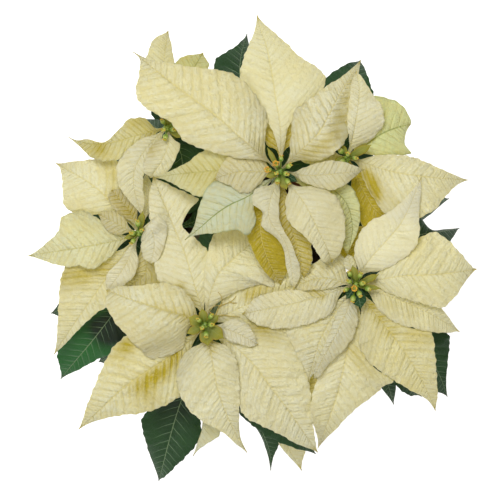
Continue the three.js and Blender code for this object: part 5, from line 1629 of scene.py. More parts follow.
def grown(name, source, tree, **values):
    """Runs a tree on an object once, and gives the result as a plain mesh object."""
    modifier = source.modifiers.new(name, "NODES")
    modifier.node_group = tree
    for item in tree.interface.items_tree:
        key = item.name.replace(" ", "_").lower()
        if item.in_out == "INPUT" and key in values:
            modifier[item.identifier] = values[key]
    scene.collection.objects.link(source)
    bpy.context.view_layer.update()
    evaluated = source.evaluated_get(bpy.context.evaluated_depsgraph_get())
    mesh = bpy.data.meshes.new_from_object(evaluated)
    source.modifiers.remove(modifier)
    bpy.data.objects.remove(source)
    mesh.name = name
    return set_up(name, mesh)


def path_object(name, paths):
    """A curve object with one straight-sided spline for each list of points in millimetres."""
    curve = bpy.data.curves.new(name, "CURVE")
    curve.dimensions = "3D"
    for points in paths:
        spline = curve.splines.new("POLY")
        spline.points.add(len(points) - 1)
        places = np.column_stack([np.asarray(points) * MM, np.ones(len(points))])
        spline.points.foreach_set("co", places.ravel())
    return bpy.data.objects.new(name, curve)


# %% The tree that grows a stem
RING_SHARPNESS = 14.0
wires, given, result = new_tree("stem along path", {
    "Foot Radius": "Float", "Tip Radius": "Float", "Joint Swell": "Float", "Joints": "Float",
    "Sides": "Int", "Finish": "Material"})
along_stem = wires.node("GeometryNodeSplineParameter").outputs["Factor"]
taper = wires.node("ShaderNodeMapRange", {
    "Value": along_stem, "To Min": given["Foot Radius"], "To Max": given["Tip Radius"]}).outputs[0]
phase = wires.times(wires.times(along_stem, given["Joints"]), math.pi)
ring = wires.math("POWER", wires.math("ABSOLUTE", wires.math("COSINE", phase)), RING_SHARPNESS)
girth = wires.times(taper, wires.add(wires.times(ring, given["Joint Swell"]), 1.0))
circle = wires.node("GeometryNodeCurvePrimitiveCircle", {"Resolution": given["Sides"], "Radius": 1.0})
swept = wires.node("GeometryNodeCurveToMesh", {
    "Curve": given["Geometry"], "Profile Curve": circle.outputs[0], "Scale": girth, "Fill Caps": True})
STEM_TREE = hand_out(wires, result, swept, given["Finish"], smooth=True)

# %% The tree that sets leaf scars in a spiral
SCAR_STRETCH = (0.42, 1.3, 0.7)
wires, given, result = new_tree("leaf scars", {
    "Scars": "Int", "Stem Radius": "Float", "Scar Size": "Float", "Finish": "Material"})
path = {"Curve": given["Geometry"], "Count": given["Scars"]}
spots = wires.node("GeometryNodeCurveToPoints", path, mode="COUNT")
pad = wires.node("GeometryNodeMeshIcoSphere", {"Radius": given["Scar Size"], "Subdivisions": 2})
shaped = wires.node("GeometryNodeTransform", {"Geometry": pad.outputs[0], "Scale": SCAR_STRETCH})
count = wires.node("GeometryNodeInputIndex").outputs[0]
spin = wires.node("ShaderNodeCombineXYZ", {"Z": wires.times(count, GOLDEN_ANGLE)}).outputs[0]
spin = wires.node("FunctionNodeEulerToRotation", {0: spin}).outputs[0]
facing = {0: spots.outputs["Rotation"], 1: spin}
turned = wires.node("FunctionNodeRotateRotation", facing, rotation_space="LOCAL")
placed = wires.node("GeometryNodeInstanceOnPoints", {
    "Points": spots.outputs[0], "Instance": shaped.outputs[0], "Rotation": turned.outputs[0]})
offset = wires.node("ShaderNodeCombineXYZ", {"X": given["Stem Radius"]}).outputs[0]
moved = wires.node("GeometryNodeTranslateInstances", {"Instances": placed.outputs[0], "Translation": offset})
SCAR_TREE = hand_out(wires, result, moved, given["Finish"], smooth=True)

# %% [markdown]
# A stem is bark at its foot and green skin above, and has no seam between them. Two materials would
# meet in a hard line, so one material turns from one to the other with the height above the floor.


# %% Bark and green stem
def stem_finish(name, green, wood, low, high):
    """Corky below and green above: low and high are the heights between which it turns."""
    material, wires, surface = new_finish(name)
    place, mottle = own_place(wires), mottling(wires, 60.0)
    edge = wires.add(wires.split(place)["Z"], wires.times(wires.less(mottle["Broad"], 0.5), 0.05))
    young = wires.ramp(edge, low, high)
    stretched = wires.node("ShaderNodeMapping", {"Vector": place, "Scale": (1, 1, 0.25)}).outputs[0]
    grain = wires.noise(stretched, 420.0, 4, 0.6)
    pores = wires.ramp(wires.cells(place, 330.0), 0.28, 0.1)
    bark = wires.blend(grain, rgb(*wood), rgb(*(0.55 * c for c in wood)))
    skin = wires.blend(mottle["Fine"], rgb(*green), rgb(*(0.7 * c for c in green)))
    colour = wires.coats(wires.blend(young, bark, skin), (pores, 0.45, (0.33, 0.30, 0.19)))
    wires.put(surface.inputs["Base Color"], colour)
    wires.put(surface.inputs["Roughness"], wires.less(0.85, wires.times(young, 0.35)))
    bump(wires, surface, wires.add(grain, wires.times(pores, 0.8)), strength=0.6, distance=0.0005)
    return material


STEM = stem_finish("stem_skin", green=(0.17, 0.24, 0.06), wood=(0.20, 0.15, 0.09), low=0.15, high=0.24)
SCAR = stem_finish("scar_cork", green=(0.24, 0.22, 0.10), wood=(0.13, 0.09, 0.05), low=0.17, high=0.30)
print("finishes:", STEM.name, SCAR.name)


def stem(name, paths, foot, tip, joint_swell, joints, sides, finish=STEM):
    """Grows stems along paths in millimetres, from a foot radius to a tip radius."""
    return grown(name, path_object("path_" + name, paths), STEM_TREE, foot_radius=foot * MM,
                 tip_radius=tip * MM, joint_swell=joint_swell, joints=joints, sides=sides, finish=finish)


# %% [markdown]
# The main stem is old wood, and the stubs are what was left when its young tip was pinched out. They
# start inside it and end just inside the branches, so no joint needs any cutting.

# %% The main stem with its stubs
TRUNK_FOOT, TRUNK_TOP, TRUNK_POINTS = 62, 178, 48
TRUNK_RADIUS, TRUNK_TIP_RADIUS = 7.6, 6.0
STUB_RADIUS, STUB_SINK, STUB_POINTS = 4.8, 2.0, 12
trunk_path = [(0, 0, z) for z in np.linspace(TRUNK_FOOT, TRUNK_TOP, TRUNK_POINTS)]
trunk = stem("main_stem_trunk", [trunk_path], TRUNK_RADIUS, TRUNK_TIP_RADIUS,
             joint_swell=0.07, joints=7.0, sides=28)
place_piece(trunk, "stem", "main_stem")
stub_paths = []
for one in BLOOMS.values():
    foot = np.array([0, 0, one["fork"]], float)
    reaches = np.linspace(0, STUB_REACH + STUB_SINK, STUB_POINTS)
    stub_paths.append([foot + branch_start(one) * reach for reach in reaches])
stubs = stem("main_stem_stubs", stub_paths, 1.25 * STUB_RADIUS, 0.96 * STUB_RADIUS,
             joint_swell=0.0, joints=1.0, sides=20)
place_piece(stubs, "stem", "main_stem")

# %% The six branches
BRANCH_RADIUS, BRANCH_TIP_RADIUS, BRANCH_POINTS = 4.2, 3.4, 64
SCARS, SCAR_SIZE, SCAR_SINK = 7, 1.9, 0.9
for name, one in BLOOMS.items():
    line = stem_line(branch_points(one))
    path = line(share_to_t(line, np.linspace(0, 1, BRANCH_POINTS)))
    branch = stem("stem_" + name, [path], BRANCH_RADIUS, BRANCH_TIP_RADIUS,
                  joint_swell=0.1, joints=6.0, sides=20)
    place_piece(branch, "stem", "branch_" + name)
    scars = grown("scars_" + name, path_object("scar_path_" + name, [path[4:-6]]), SCAR_TREE, scars=SCARS,
                  stem_radius=SCAR_SINK * BRANCH_TIP_RADIUS * MM, scar_size=SCAR_SIZE * MM, finish=SCAR)
    place_piece(scars, "stem", "branch_" + name)

# %% [markdown]
# ## The true flowers
#
# The real flowers are the small cups in the middle: a green urn on a short stalk, with one yellow
# gland on its side, like a pair of lips, and a tuft of stamens. Each cup is turned from a profile.
# The stamens repeat in great number, so Geometry Nodes set them on the cups' mouths.


# %% Finishes of the flower cluster
def cup_finish():
    """Green at the foot of the cup and yellow-green at its lip."""
    material, wires, surface = new_finish("cup_skin")
    mottle, rise = mottling(wires, 160.0), tones(wires)[0]
    colour = wires.blend(mottle["Broad"], rgb(0.15, 0.26, 0.03), rgb(0.28, 0.37, 0.05))
    colour = wires.coats(colour, (wires.ramp(rise, 0.5, 1.0), 1.0, (0.48, 0.52, 0.12)))
    dress(wires, surface, colour, mottle, rough=0.3, uneven=0.25)
    surface.inputs["Subsurface Weight"].default_value = 0.15
    surface.inputs["Subsurface Radius"].default_value = (0.002, 0.002, 0.0005)
    bump(wires, surface, mottle["Fine"], strength=0.4, distance=0.0003)
    return material


def bright_finish(name, light, deep, rough):
    """A waxy yellow skin for glands and anthers, mottled lighter and deeper."""
    material, wires, surface = new_finish(name)
    mottle = mottling(wires, 300.0)
    dress(wires, surface, wires.blend(mottle["Broad"], rgb(*light), rgb(*deep)), mottle, rough)
    bump(wires, surface, mottle["Fine"], strength=0.5, distance=0.0003)
    return material


def sprig_finish():
    """Young bracts round the cups: green at the root, olive and gold towards the tip."""
    material, wires, surface = new_finish("sprig_skin")
    veins, mottle = veining(wires, 3.4), mottling(wires, 60.0)
    colour = wires.blend(tones(wires)[2], rgb(0.09, 0.17, 0.02), rgb(0.42, 0.38, 0.03))
    colour = wires.coats(
        colour,
        (mottle["Broad"], 0.4, (0.22, 0.26, 0.04)),
        (veins["Rib"], 0.6, (0.36, 0.42, 0.12)),
        (wires.ramp(measure(wires, "edge"), 0.6, 1.0), 0.7, (0.46, 0.33, 0.05)))
    dress(wires, surface, colour, mottle, rough=0.4)
    bump(wires, surface, veins["Relief"], strength=0.6, distance=0.0003)
    see_through(wires, surface, 0.35, glow=(0.66, 0.62, 0.05))
    return material


CUP = cup_finish()
SPRIG = sprig_finish()
GLAND = bright_finish("gland_wax", light=(0.66, 0.62, 0.08), deep=(0.50, 0.46, 0.05), rough=0.22)
ANTHER = bright_finish("anther_pollen", light=(0.80, 0.50, 0.05), deep=(0.66, 0.30, 0.03), rough=0.6)
DRY = bright_finish("dry_thread", light=(0.66, 0.54, 0.17), deep=(0.38, 0.28, 0.06), rough=0.55)
print("finishes:", CUP.name, SPRIG.name, GLAND.name, ANTHER.name, DRY.name)

# %% The tree that sets stamens on the cups
THREAD_SIDES, ANTHER_APART = 5, 0.62
wires, given, result = new_tree("stamens on cups", {
    "Length": "Float", "Thickness": "Float", "Anther Size": "Float", "Lean": "Float", "Seed": "Int",
    "Thread Finish": "Material", "Anther Finish": "Material"})


def joined_up(*parts):
    made = wires.node("GeometryNodeJoinGeometry")
    for part in parts:
        wires.put(made.inputs[0], part)
    return made.outputs[0]


def painted(part, finish):
    return wires.node("GeometryNodeSetMaterial", {0: part, "Material": finish}).outputs[0]


def lobe_at(side):
    """One half of the anther, beside the tip of the thread."""
    spot = {"X": wires.times(half, side), "Z": given["Length"]}
    place = wires.node("ShaderNodeCombineXYZ", spot).outputs[0]
    return wires.node("GeometryNodeTransform", {"Geometry": lobe.outputs[0], "Translation": place}).outputs[0]


thread = wires.node("GeometryNodeMeshCone", {
    "Vertices": THREAD_SIDES, "Radius Top": given["Thickness"], "Radius Bottom": given["Thickness"],
    "Depth": given["Length"]})
lobe = wires.node("GeometryNodeMeshIcoSphere", {"Radius": given["Anther Size"], "Subdivisions": 1})
half = wires.times(given["Anther Size"], ANTHER_APART)
anther = joined_up(lobe_at(-1), lobe_at(1))
threads = painted(thread.outputs[0], given["Thread Finish"])
stamen = joined_up(threads, painted(anther, given["Anther Finish"]))
aim = wires.node("GeometryNodeInputNamedAttribute", {"Name": "aim"}, data_type="FLOAT_VECTOR").outputs[0]
jitter = {0: random_vector(wires, (-1, -1, -1), (1, 1, 1), given["Seed"]), "Scale": given["Lean"]}
aside = wires.node("ShaderNodeVectorMath", jitter, operation="SCALE").outputs[0]
lean = wires.node("ShaderNodeVectorMath", {0: aim, 1: aside}, operation="ADD").outputs[0]
turn = wires.node("FunctionNodeAlignRotationToVector", {"Vector": lean}, axis="Z").outputs[0]
sizes = {2: 0.75, 3: 1.2, "Seed": given["Seed"]}
size = wires.node("FunctionNodeRandomValue", sizes, data_type="FLOAT").outputs[1]
placed = wires.node("GeometryNodeInstanceOnPoints", {
    "Points": given["Geometry"], "Instance": stamen, "Rotation": turn, "Scale": size})
STAMEN_TREE = hand_out(wires, result, placed, smooth=True)

# %% [markdown]
# A cup is round, so it is turned from a profile: a thin stalk, a body that swells, and a narrow mouth
# with a floor sunk inside. Its gland is turned too, and sits by the lip on the outer side.

# %% A cup with its gland
CUP_HEIGHT, CUP_RADIUS, CUP_SIDES = 6.6, 3.0, 18
CUP_STALK_RADIUS, CUP_STALK_TAPER = 0.9, 0.9
CUP_FLOOR, CUP_MOUTH, CUP_FLOOR_TONE = 0.72, 0.7, 0.6
GLAND_RISE, GLAND_OUT, GLAND_SIDES = 0.62, 0.62, 14
CUP_OUTLINE = [(0.55, 0.04), (0.86, 0.2), (1.0, 0.42), (0.96, 0.62), (0.8, 0.8), (0.66, 0.88),
               (0.7, 0.96), (0.56, 1.0), (0.42, 0.9)]
GLAND_OUTLINE = [(0, 0), (0.7, 0.05), (1.5, 0.55), (1.9, 1.2), (1.75, 1.5), (1.3, 1.2),
                 (0.7, 0.75), (0, 0.65)]


def around(angle):
    """A level step of 1 at an angle."""
    return np.array([math.cos(angle), math.sin(angle), 0])


def flower_cup(base, place, bearing, size):
    """The urn with its stalk and the gland on its lip, with the place of its mouth and its lean."""
    stalk = np.linalg.norm(place - base)
    lean, outward = (place - base) / stalk, around(bearing)
    radius, height = CUP_RADIUS * size, CUP_HEIGHT * size
    profile = [(0, 0), (CUP_STALK_RADIUS, 0), (CUP_STALK_RADIUS * CUP_STALK_TAPER, stalk)]
    profile += [(radius * r, stalk + height * h) for r, h in CUP_OUTLINE]
    profile.append((0, stalk + CUP_FLOOR * height))
    rise = [max(0, h - stalk) / height for r, h in profile[1:-1]]
    tone = np.zeros(((len(profile) - 2) * CUP_SIDES + 2, 4))
    tone[:-2, 0] = np.repeat(rise, CUP_SIDES)
    tone[-1, 0] = CUP_FLOOR_TONE
    cup = lathe(profile, CUP_SIDES, base, lean, bearing, tone=tone)
    lip = base + lean * (stalk + GLAND_RISE * height) + outward * radius * GLAND_OUT
    gland_outline = [(r * size, h * size) for r, h in GLAND_OUTLINE]
    gland = lathe(gland_outline, GLAND_SIDES, lip, outward * 0.7 + lean * 0.75, stuff=1)
    return [cup, gland], base + lean * (stalk + CUP_MOUTH * height), lean


# %% The cups of a bloom
CUP_SIZES = (0.72, 0.98)
CUP_SPREAD, CUP_RISE, CUP_DIP, CUP_ROOT = 3.7, 6.5, 0.3, 0.22
KNOB_RADIUS, KNOB_HEIGHT, KNOB_SIDES = 3.4, 4.0, 16
KNOB_OUTLINE = [(0, 0), (KNOB_RADIUS, 0), (KNOB_RADIUS * 0.95, 0.6 * KNOB_HEIGHT),
                (0.7 * KNOB_RADIUS, KNOB_HEIGHT), (0, KNOB_HEIGHT)]
STAMENS = {"open": 30, "closed": 2}
STAMEN_SPREAD = {"open": 0.8, "closed": 0.35}
OPEN_CUPS = {"back": (2, 5), "right": (0,)}


def cups_of(one, seat):
    """Cups in a sunflower spiral, with the places and aims of their stamens."""
    shells, tufts, aims = [], [], []
    for i in range(one["cups"]):
        bearing = GOLDEN_ANGLE * i + one["x"]
        reach = CUP_SPREAD * math.sqrt(i + 0.4)
        outward = around(bearing)
        base = seat + UP * KNOB_HEIGHT / 2 + outward * CUP_ROOT * reach
        place = base + outward * (1 - CUP_ROOT) * reach + UP * (CUP_RISE - CUP_DIP * reach)
        size = CUP_SIZES[0] + (CUP_SIZES[1] - CUP_SIZES[0]) * (0.618 * i % 1)
        cup, mouth, lean = flower_cup(base, place, bearing, size)
        shells += cup
        state = "open" if i in OPEN_CUPS.get(one["name"], ()) else "closed"
        for k in range(STAMENS[state]):
            ring = 0.4 * CUP_RADIUS * size * math.sqrt(k / STAMENS[state])
            aside = around(GOLDEN_ANGLE * k)
            tufts.append(mouth + aside * ring)
            aims.append(lean + aside * STAMEN_SPREAD[state])
    return shells, tufts, aims


print("cups", sum(one["cups"] for one in BLOOMS.values()))

# %% [markdown]
# Small bracts stand close round the cups. They are blades like the large ones, so the same grids and
# shells make them, on a finer grain and without waves.

# %% Small bracts round the cups
INNER_ROOT, INNER_SEAT, INNER_GRAIN = 2, 0.6, 0.9
INNER_LIFT, INNER_DROP = 3, -2
INNER_EDGE, INNER_BREADTH = (0.4, 0.75), 0.8
INNER_DEPTH, INNER_STALK_SHARE, INNER_STALK_ROUND = 0.9, 0.3, 1.8
# A few of the small bracts round the cups are dark green all over, with the leaf finish.
DEEP_SPRIGS = {"right": (2, 3), "left": (2,), "back": (3,)}
SPRIG_STUFF, DEEP_STUFF = 2, 4


def inner_skin(one, low, row, turn):
    """A small bract close round the cups."""
    bearing, length, half = row
    spot = spots_from(one["plan"], bearing)

    def side(sign):
        return np.array([spot(share * length, sign * half * INNER_BREADTH) for share in INNER_EDGE])

    root, rib = np.array([*spot(INNER_ROOT, 0), low]), np.array([spot(length * 0.5, 0), spot(length, 0)])
    grid = lay_out(dict(kind="inner", look={}, lift=INNER_LIFT, drop=INNER_DROP, wave=0,
                        root=root, rib=rib, left=side(1), right=side(-1)), turn)
    fine = fine_grid(grid, INNER_GRAIN)
    vein, pitch = vein_turn(fine)
    depth = np.clip(INNER_DEPTH * (1 - fine["t"][:, None] / INNER_STALK_SHARE), 0, 1)
    depth = depth * np.clip(1 - (fine["b"] / INNER_STALK_ROUND) ** 2, 0, 1)
    return dict(fine, vein=vein + np.where(fine["shares"] > 0, 0, 0.5), pitch=pitch, depth=depth)


def inner_shell(one, low, row, turn):
    """Its shell, golden towards the tip, or green all over."""
    sprig = inner_skin(one, low, row, turn)
    deep = turn in DEEP_SPRIGS.get(one["name"], ())
    tone = np.zeros((*sprig["height"].shape, 4))
    if not deep:
        tone[..., 2] = sprig["t"][:, None]
    return skin_shell(sprig, tone, DEEP_STUFF if deep else SPRIG_STUFF)


print("small bracts", sum(len(rows) for rows in INNER_BRACTS.values()))

# %% The six flower clusters
STAMEN_LENGTH, STAMEN_THICKNESS, ANTHER_SIZE = 3.0, 0.16, 0.5
STAMEN_LEAN, STAMEN_SEED = 0.3, 3


def tuft_points(name, tufts, aims):
    """A mesh of single points, one for each stamen, that know where to aim."""
    points = bpy.data.meshes.new(name)
    points.from_pydata([tuple(p * MM) for p in tufts], [], [])
    aim_values = points.attributes.new("aim", "FLOAT_VECTOR", "POINT")
    aim_values.data.foreach_set("vector", np.array(aims).ravel())
    return bpy.data.objects.new(name, points)


for name, one in BLOOMS.items():
    seat = np.array([*one["plan"], one["top"] + SEAT_GAP])
    shells, tufts, aims = cups_of(one, seat)
    low = one["top"] + SEAT_GAP + INNER_SEAT
    small = [inner_shell(one, low, row, turn) for turn, row in enumerate(INNER_BRACTS[name])]
    finishes = [CUP, GLAND, SPRIG, SPRIG] + (LEAF_SKINS if name in DEEP_SPRIGS else [])
    knob = lathe(KNOB_OUTLINE, KNOB_SIDES, seat)
    piece = make_mesh("flowers_" + name, [knob, *shells, *small], finishes)
    place_piece(piece, "flower", f"bloom_{name}_cyathia")
    stamens = grown("stamens_" + name, tuft_points("tufts_" + name, tufts, aims), STAMEN_TREE,
                    length=STAMEN_LENGTH * MM, thickness=STAMEN_THICKNESS * MM, anther_size=ANTHER_SIZE * MM,
                    lean=STAMEN_LEAN, seed=STAMEN_SEED, thread_finish=CUP, anther_finish=ANTHER)
    place_piece(stamens, "flower", f"bloom_{name}_cyathia")

# %% [markdown]
# Over the front bloom lies a withered spray, all that is left of flowers that have dropped. It is a few
# dry threads, so each one is a thin tube swept along its own line, by the tree that grew the stems.

# %% The withered spray
SPRAY_THREADS = [
    "213,319 216,314 218,309 220,306 225,304 230,302 234,299 236,296",
    "220,306 222,301 221,296 218,292",
    "220,306 215,306 210,309 208,314 206,320 203,324",
    "229,302 233,303 237,303",
    "216,317 222,315 229,316 240,317"]
SPRAY_RADIUS, SPRAY_TIP_RADIUS, SPRAY_REST = 0.55, 0.3, 1.3
SPRAY_POINTS, SPRAY_ROUNDS = 24, 6


def lying_thread(text):
    """A line on the sheet, carried up on to the bracts below it, and stiff enough to bridge dips."""
    plan = along(sheet_points(text), np.linspace(0, 1, SPRAY_POINTS))
    height = fine_laid[fine_cell(plan)] + SPRAY_REST
    for _ in range(SPRAY_ROUNDS):
        height[1:-1] = np.maximum(height[1:-1], (height[:-2] + height[2:]) / 2)
    return np.column_stack([plan, height])


threads = [lying_thread(text) for text in SPRAY_THREADS]
spray = stem("spray_front", threads, SPRAY_RADIUS, SPRAY_TIP_RADIUS,
             joint_swell=0.5, joints=4.0, sides=8, finish=DRY)
place_piece(spray, "flower", "bloom_front_cyathia")

# %% [markdown]
# ## Soil
#
# Potting soil is dark, fibrous peat with white grains of perlite. The bed is a turned body with an
# uneven top. The crumbs and grains lie loose on it, so Geometry Nodes scatter small lumps there.


# %% Soil finishes
def lump_finish(name, light, deep, scale, rough):
    """A dull, pitted skin for peat and perlite."""
    material, wires, surface = new_finish(name)
    mottle = mottling(wires, scale)
    colour = wires.blend(mottle["Broad"], rgb(*deep), rgb(*light))
    colour = wires.coats(colour, (mottle["Fine"], 0.5, [0.5 * c for c in deep]))
    wires.put(surface.inputs["Base Color"], colour)
    surface.inputs["Roughness"].default_value = rough
    surface.inputs["Specular IOR Level"].default_value = 0.2
    bump(wires, surface, mottle["Fine"], strength=1.0, distance=0.0012)
    return material


PEAT = lump_finish("soil_peat", light=(0.055, 0.033, 0.018), deep=(0.020, 0.012, 0.007),
                   scale=130.0, rough=0.95)
PERLITE = lump_finish("perlite_grain", light=(0.80, 0.79, 0.75), deep=(0.62, 0.60, 0.55),
                      scale=200.0, rough=0.9)
print("finishes:", PEAT.name, PERLITE.name)

# %% The bed of soil
POT_WALL, POT_FLOOR = 2.2, 2.6
POT_HEIGHT, POT_FOOT_RADIUS, POT_NECK_RADIUS = 132, 58, 77
RIM_HEIGHT, RIM_STEP = 14, 5
SOIL_TOP, SOIL_SHOULDER, SOIL_DIP = 117, 3, 1.5
SOIL_TURN, SOIL_RINGS = 96, 44
STEM_ROOM = 0.6
LUMP_LEAST, LUMP_MOST, LUMP_SINK = -1.4, 1.2, 0.6


def soil_bed():
    """A body turned in rings, hollow in the middle for the stem, with a lumpy top."""
    floor_low, shoulder = POT_FLOOR + SEAT_GAP, SOIL_TOP - SOIL_SHOULDER
    foot, neck = (radius - POT_WALL - 2 * SEAT_GAP for radius in (POT_FOOT_RADIUS, POT_NECK_RADIUS))

    def wall(z):
        return foot + (neck - foot) * (z - POT_FLOOR) / (POT_HEIGHT - RIM_HEIGHT - POT_FLOOR)

    hole = TRUNK_RADIUS + STEM_ROOM
    rings = np.linspace(hole, wall(shoulder) - 1.0, SOIL_RINGS)
    profile = [(hole, SOIL_TOP - SOIL_DIP)] + [(r, SOIL_TOP) for r in rings[1:]]
    profile += [(wall(shoulder), shoulder), (wall(floor_low), floor_low), (hole, floor_low)]
    angles = np.arange(SOIL_TURN) * 2 * np.pi / SOIL_TURN
    points = np.array([[(r * math.cos(a), r * math.sin(a), z) for a in angles] for r, z in profile])
    top = points[1:len(rings)]
    x, y = top[..., 0], top[..., 1]
    # Three sizes of lump lie over each other, none of them in line with the rings.
    broad, middling = 0.7 * np.sin(0.21 * x + 1.3) * np.cos(0.18 * y), 0.5 * np.sin(0.5 * x + 0.37 * y)
    lumps = broad + middling * np.sin(0.43 * y + 2)
    lumps += 0.35 * np.sin(1.1 * x + 2.0 * np.sin(0.6 * y)) * np.cos(0.97 * y)
    top[..., 2] += np.clip(lumps, LUMP_LEAST, LUMP_MOST) - LUMP_SINK
    number = np.arange(len(profile) * SOIL_TURN).reshape(len(profile), SOIL_TURN)
    after, turned = np.roll(number, -1, axis=0), np.roll(number, -1, axis=1)
    faces = np.stack([number, after, np.roll(after, -1, axis=1), turned], -1).reshape(-1, 4)
    return shell(points.reshape(-1, 3), [faces])


soil = make_mesh("soil_bed", [soil_bed()], [PEAT])
place_piece(soil, "soil", "soil")

# %% [markdown]
# Crumbs and grains lie at random, but hardly ever in one another. So points are scattered over the
# faces that look up, a least distance apart, and each one gets a bent little ball, turned at random.

# %% The tree that scatters lumps
UPWARD, FULL_TURN = 0.6, (6.28, 6.28, 6.28)
LUMP_BEND, BEND_SEED = 0.0004, 5
LUMP_SMALL, LUMP_LARGE = (0.4, 0.4, 0.3), (1.3, 1.0, 0.8)
wires, given, result = new_tree("lumps on soil", {
    "Spacing": "Float", "Most": "Float", "Size": "Float", "Seed": "Int", "Finish": "Material"})
facing = wires.split(wires.node("GeometryNodeInputNormal").outputs[0])["Z"]
spots = wires.node("GeometryNodeDistributePointsOnFaces", {
    "Mesh": given["Geometry"], "Selection": wires.math("GREATER_THAN", facing, UPWARD),
    "Distance Min": given["Spacing"], "Density Max": given["Most"], "Seed": given["Seed"]},
    distribute_method="POISSON")
lump = wires.node("GeometryNodeMeshIcoSphere", {"Radius": given["Size"], "Subdivisions": 1})
bends = random_vector(wires, (-LUMP_BEND,) * 3, (LUMP_BEND,) * 3, BEND_SEED)
bent = wires.node("GeometryNodeSetPosition", {"Geometry": lump.outputs[0], "Offset": bends})
placed = wires.node("GeometryNodeInstanceOnPoints", {
    "Points": spots.outputs[0], "Instance": bent.outputs[0],
    "Rotation": random_vector(wires, (0, 0, 0), FULL_TURN, given["Seed"]),
    "Scale": random_vector(wires, LUMP_SMALL, LUMP_LARGE, given["Seed"])})
LUMP_TREE = hand_out(wires, result, placed, given["Finish"])


def scattered(name, spacing, most, size, seed, finish):
    """Lumps on the soil, at least so far apart, and at most so many to the square metre."""
    ground = bpy.data.objects.new(name + "_ground", soil.data.copy())
    return grown(name, ground, LUMP_TREE, spacing=spacing * MM, most=most, size=size * MM, seed=seed,
                 finish=finish)


crumbs = scattered("soil_crumbs", spacing=2.2, most=90000.0, size=1.5, seed=4, finish=PEAT)
place_piece(crumbs, "soil", "soil")
grains = scattered("soil_perlite", spacing=7.0, most=9000.0, size=1.3, seed=9, finish=PERLITE)
place_piece(grains, "soil", "soil")

# %% [markdown]
# ## The pot
#
# A nursery pot is one thin moulding: a tapered wall, a step to the rim that stiffens it, a rounded
# lip, and holes in the floor to drain. It is turned from one profile with rounded corners, and the
# holes are cut through with a Boolean, which is what the mould's pins do to the real one.


# %% The plastic
def pot_finish():
    """Terracotta-coloured plastic with fine turning marks, and some dust near the foot."""
    material, wires, surface = new_finish("pot_plastic")
    place, mottle = own_place(wires), mottling(wires, 16.0)
    height = wires.split(place)["Z"]
    specks = wires.ramp(wires.noise(place, 520.0, 2), 0.62, 0.7)
    dust = wires.times(wires.ramp(height, 0.035, 0.0), wires.times(mottle["Fine"], 0.6))
    colour = wires.blend(mottle["Broad"], rgb(0.31, 0.105, 0.05), rgb(0.36, 0.13, 0.065))
    colour = wires.coats(colour, (specks, 0.25, (0.22, 0.07, 0.035)), (dust, 1.0, (0.36, 0.25, 0.17)))
    wires.put(surface.inputs["Base Color"], colour)
    rough = wires.add(wires.times(mottle["Fine"], 0.16), 0.36)
    wires.put(surface.inputs["Roughness"], wires.add(rough, wires.times(dust, 0.4)))
    rings = wires.times(wires.math("SINE", wires.times(height, 2600.0)), 0.12)
    bump(wires, surface, wires.add(mottle["Fine"], rings), strength=0.25, distance=0.0004)
    return material


PLASTIC = pot_finish()
print("finish:", PLASTIC.name)

# %% The moulding, with its holes cut
POT_TURN, LIP_STEP, LIP_WIDTH = 128, 1, 2.2
FOOT_RECESS, FOOT_RING = 0.9, 8
DRAIN_HOLES, DRAIN_RADIUS, DRAIN_CIRCLE = 6, 5, 40
PIN_START, PIN_LENGTH, PIN_SIDES = -5, 15, 32
CORNER_RADII = [0.4, 0.4, 1.5, 0.8, 1.2, 1.3, 1.0, 1.0, 1.5]
CORNER_STEPS, CORNER_MOST = 5, 0.45


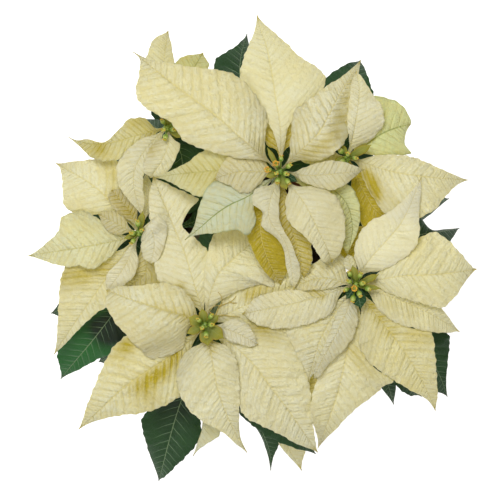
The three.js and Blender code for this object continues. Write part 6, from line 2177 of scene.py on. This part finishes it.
def rounded(profile, radii):
    """Rounds the corners of a profile: each inner point gets an arc-like curve of about its radius."""
    made = [profile[0]]
    for before, here, after, radius in zip(profile, profile[1:], profile[2:], radii):
        before, here, after = (np.array(p, float) for p in (before, here, after))
        start, end = (here + unit(far - here) * min(radius, CORNER_MOST * np.linalg.norm(far - here))
                      for far in (before, after))
        for t in np.linspace(0, 1, CORNER_STEPS):
            made.append(tuple(start * (1 - t) ** 2 + here * 2 * t * (1 - t) + end * t * t))
    return made + [profile[-1]]


neck, rim = POT_HEIGHT - RIM_HEIGHT, POT_NECK_RADIUS + RIM_STEP
pot_outline = [
    (0, FOOT_RECESS), (POT_FOOT_RADIUS - FOOT_RING - 1, FOOT_RECESS), (POT_FOOT_RADIUS - FOOT_RING, 0),
    (POT_FOOT_RADIUS, 0), (POT_NECK_RADIUS, neck), (rim, neck + 1), (rim + LIP_STEP, POT_HEIGHT),
    (rim - LIP_WIDTH, POT_HEIGHT), (POT_NECK_RADIUS - POT_WALL, neck),
    (POT_FOOT_RADIUS - POT_WALL, POT_FLOOR), (0, POT_FLOOR)]
turned_pot = lathe(rounded(pot_outline, CORNER_RADII), POT_TURN, np.zeros(3))
moulding = make_mesh("pot_moulding", [turned_pot], [PLASTIC])
pin_outline = [(0, 0), (DRAIN_RADIUS, 0), (DRAIN_RADIUS, PIN_LENGTH), (0, PIN_LENGTH)]
pins = []
for k in range(DRAIN_HOLES):
    angle = 2 * math.pi * k / DRAIN_HOLES
    foot = np.array([DRAIN_CIRCLE * math.cos(angle), DRAIN_CIRCLE * math.sin(angle), PIN_START])
    pins.append(lathe(pin_outline, PIN_SIDES, foot))
cutter = make_mesh("drain_pins", pins, [PLASTIC])
cut = moulding.modifiers.new("drain", "BOOLEAN")
cut.object = cutter
cut.operation = "DIFFERENCE"
cut.solver = "EXACT"
bpy.context.view_layer.update()
bored = bpy.data.meshes.new_from_object(moulding.evaluated_get(bpy.context.evaluated_depsgraph_get()))
moulding.modifiers.remove(cut)
moulding.data = bored
bpy.data.objects.remove(cutter)
place_piece(moulding, "pot", "pot")

# %% [markdown]
# ## Sizes and the end
#
# The solid model's box and the dressed plant's box are both printed. The dressed plant must stay
# within the solid model's box.

# %% Write the two boxes and finish
sizes = {"cad": solid_box, "visual": [list(corner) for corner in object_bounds()]}
print(sizes)
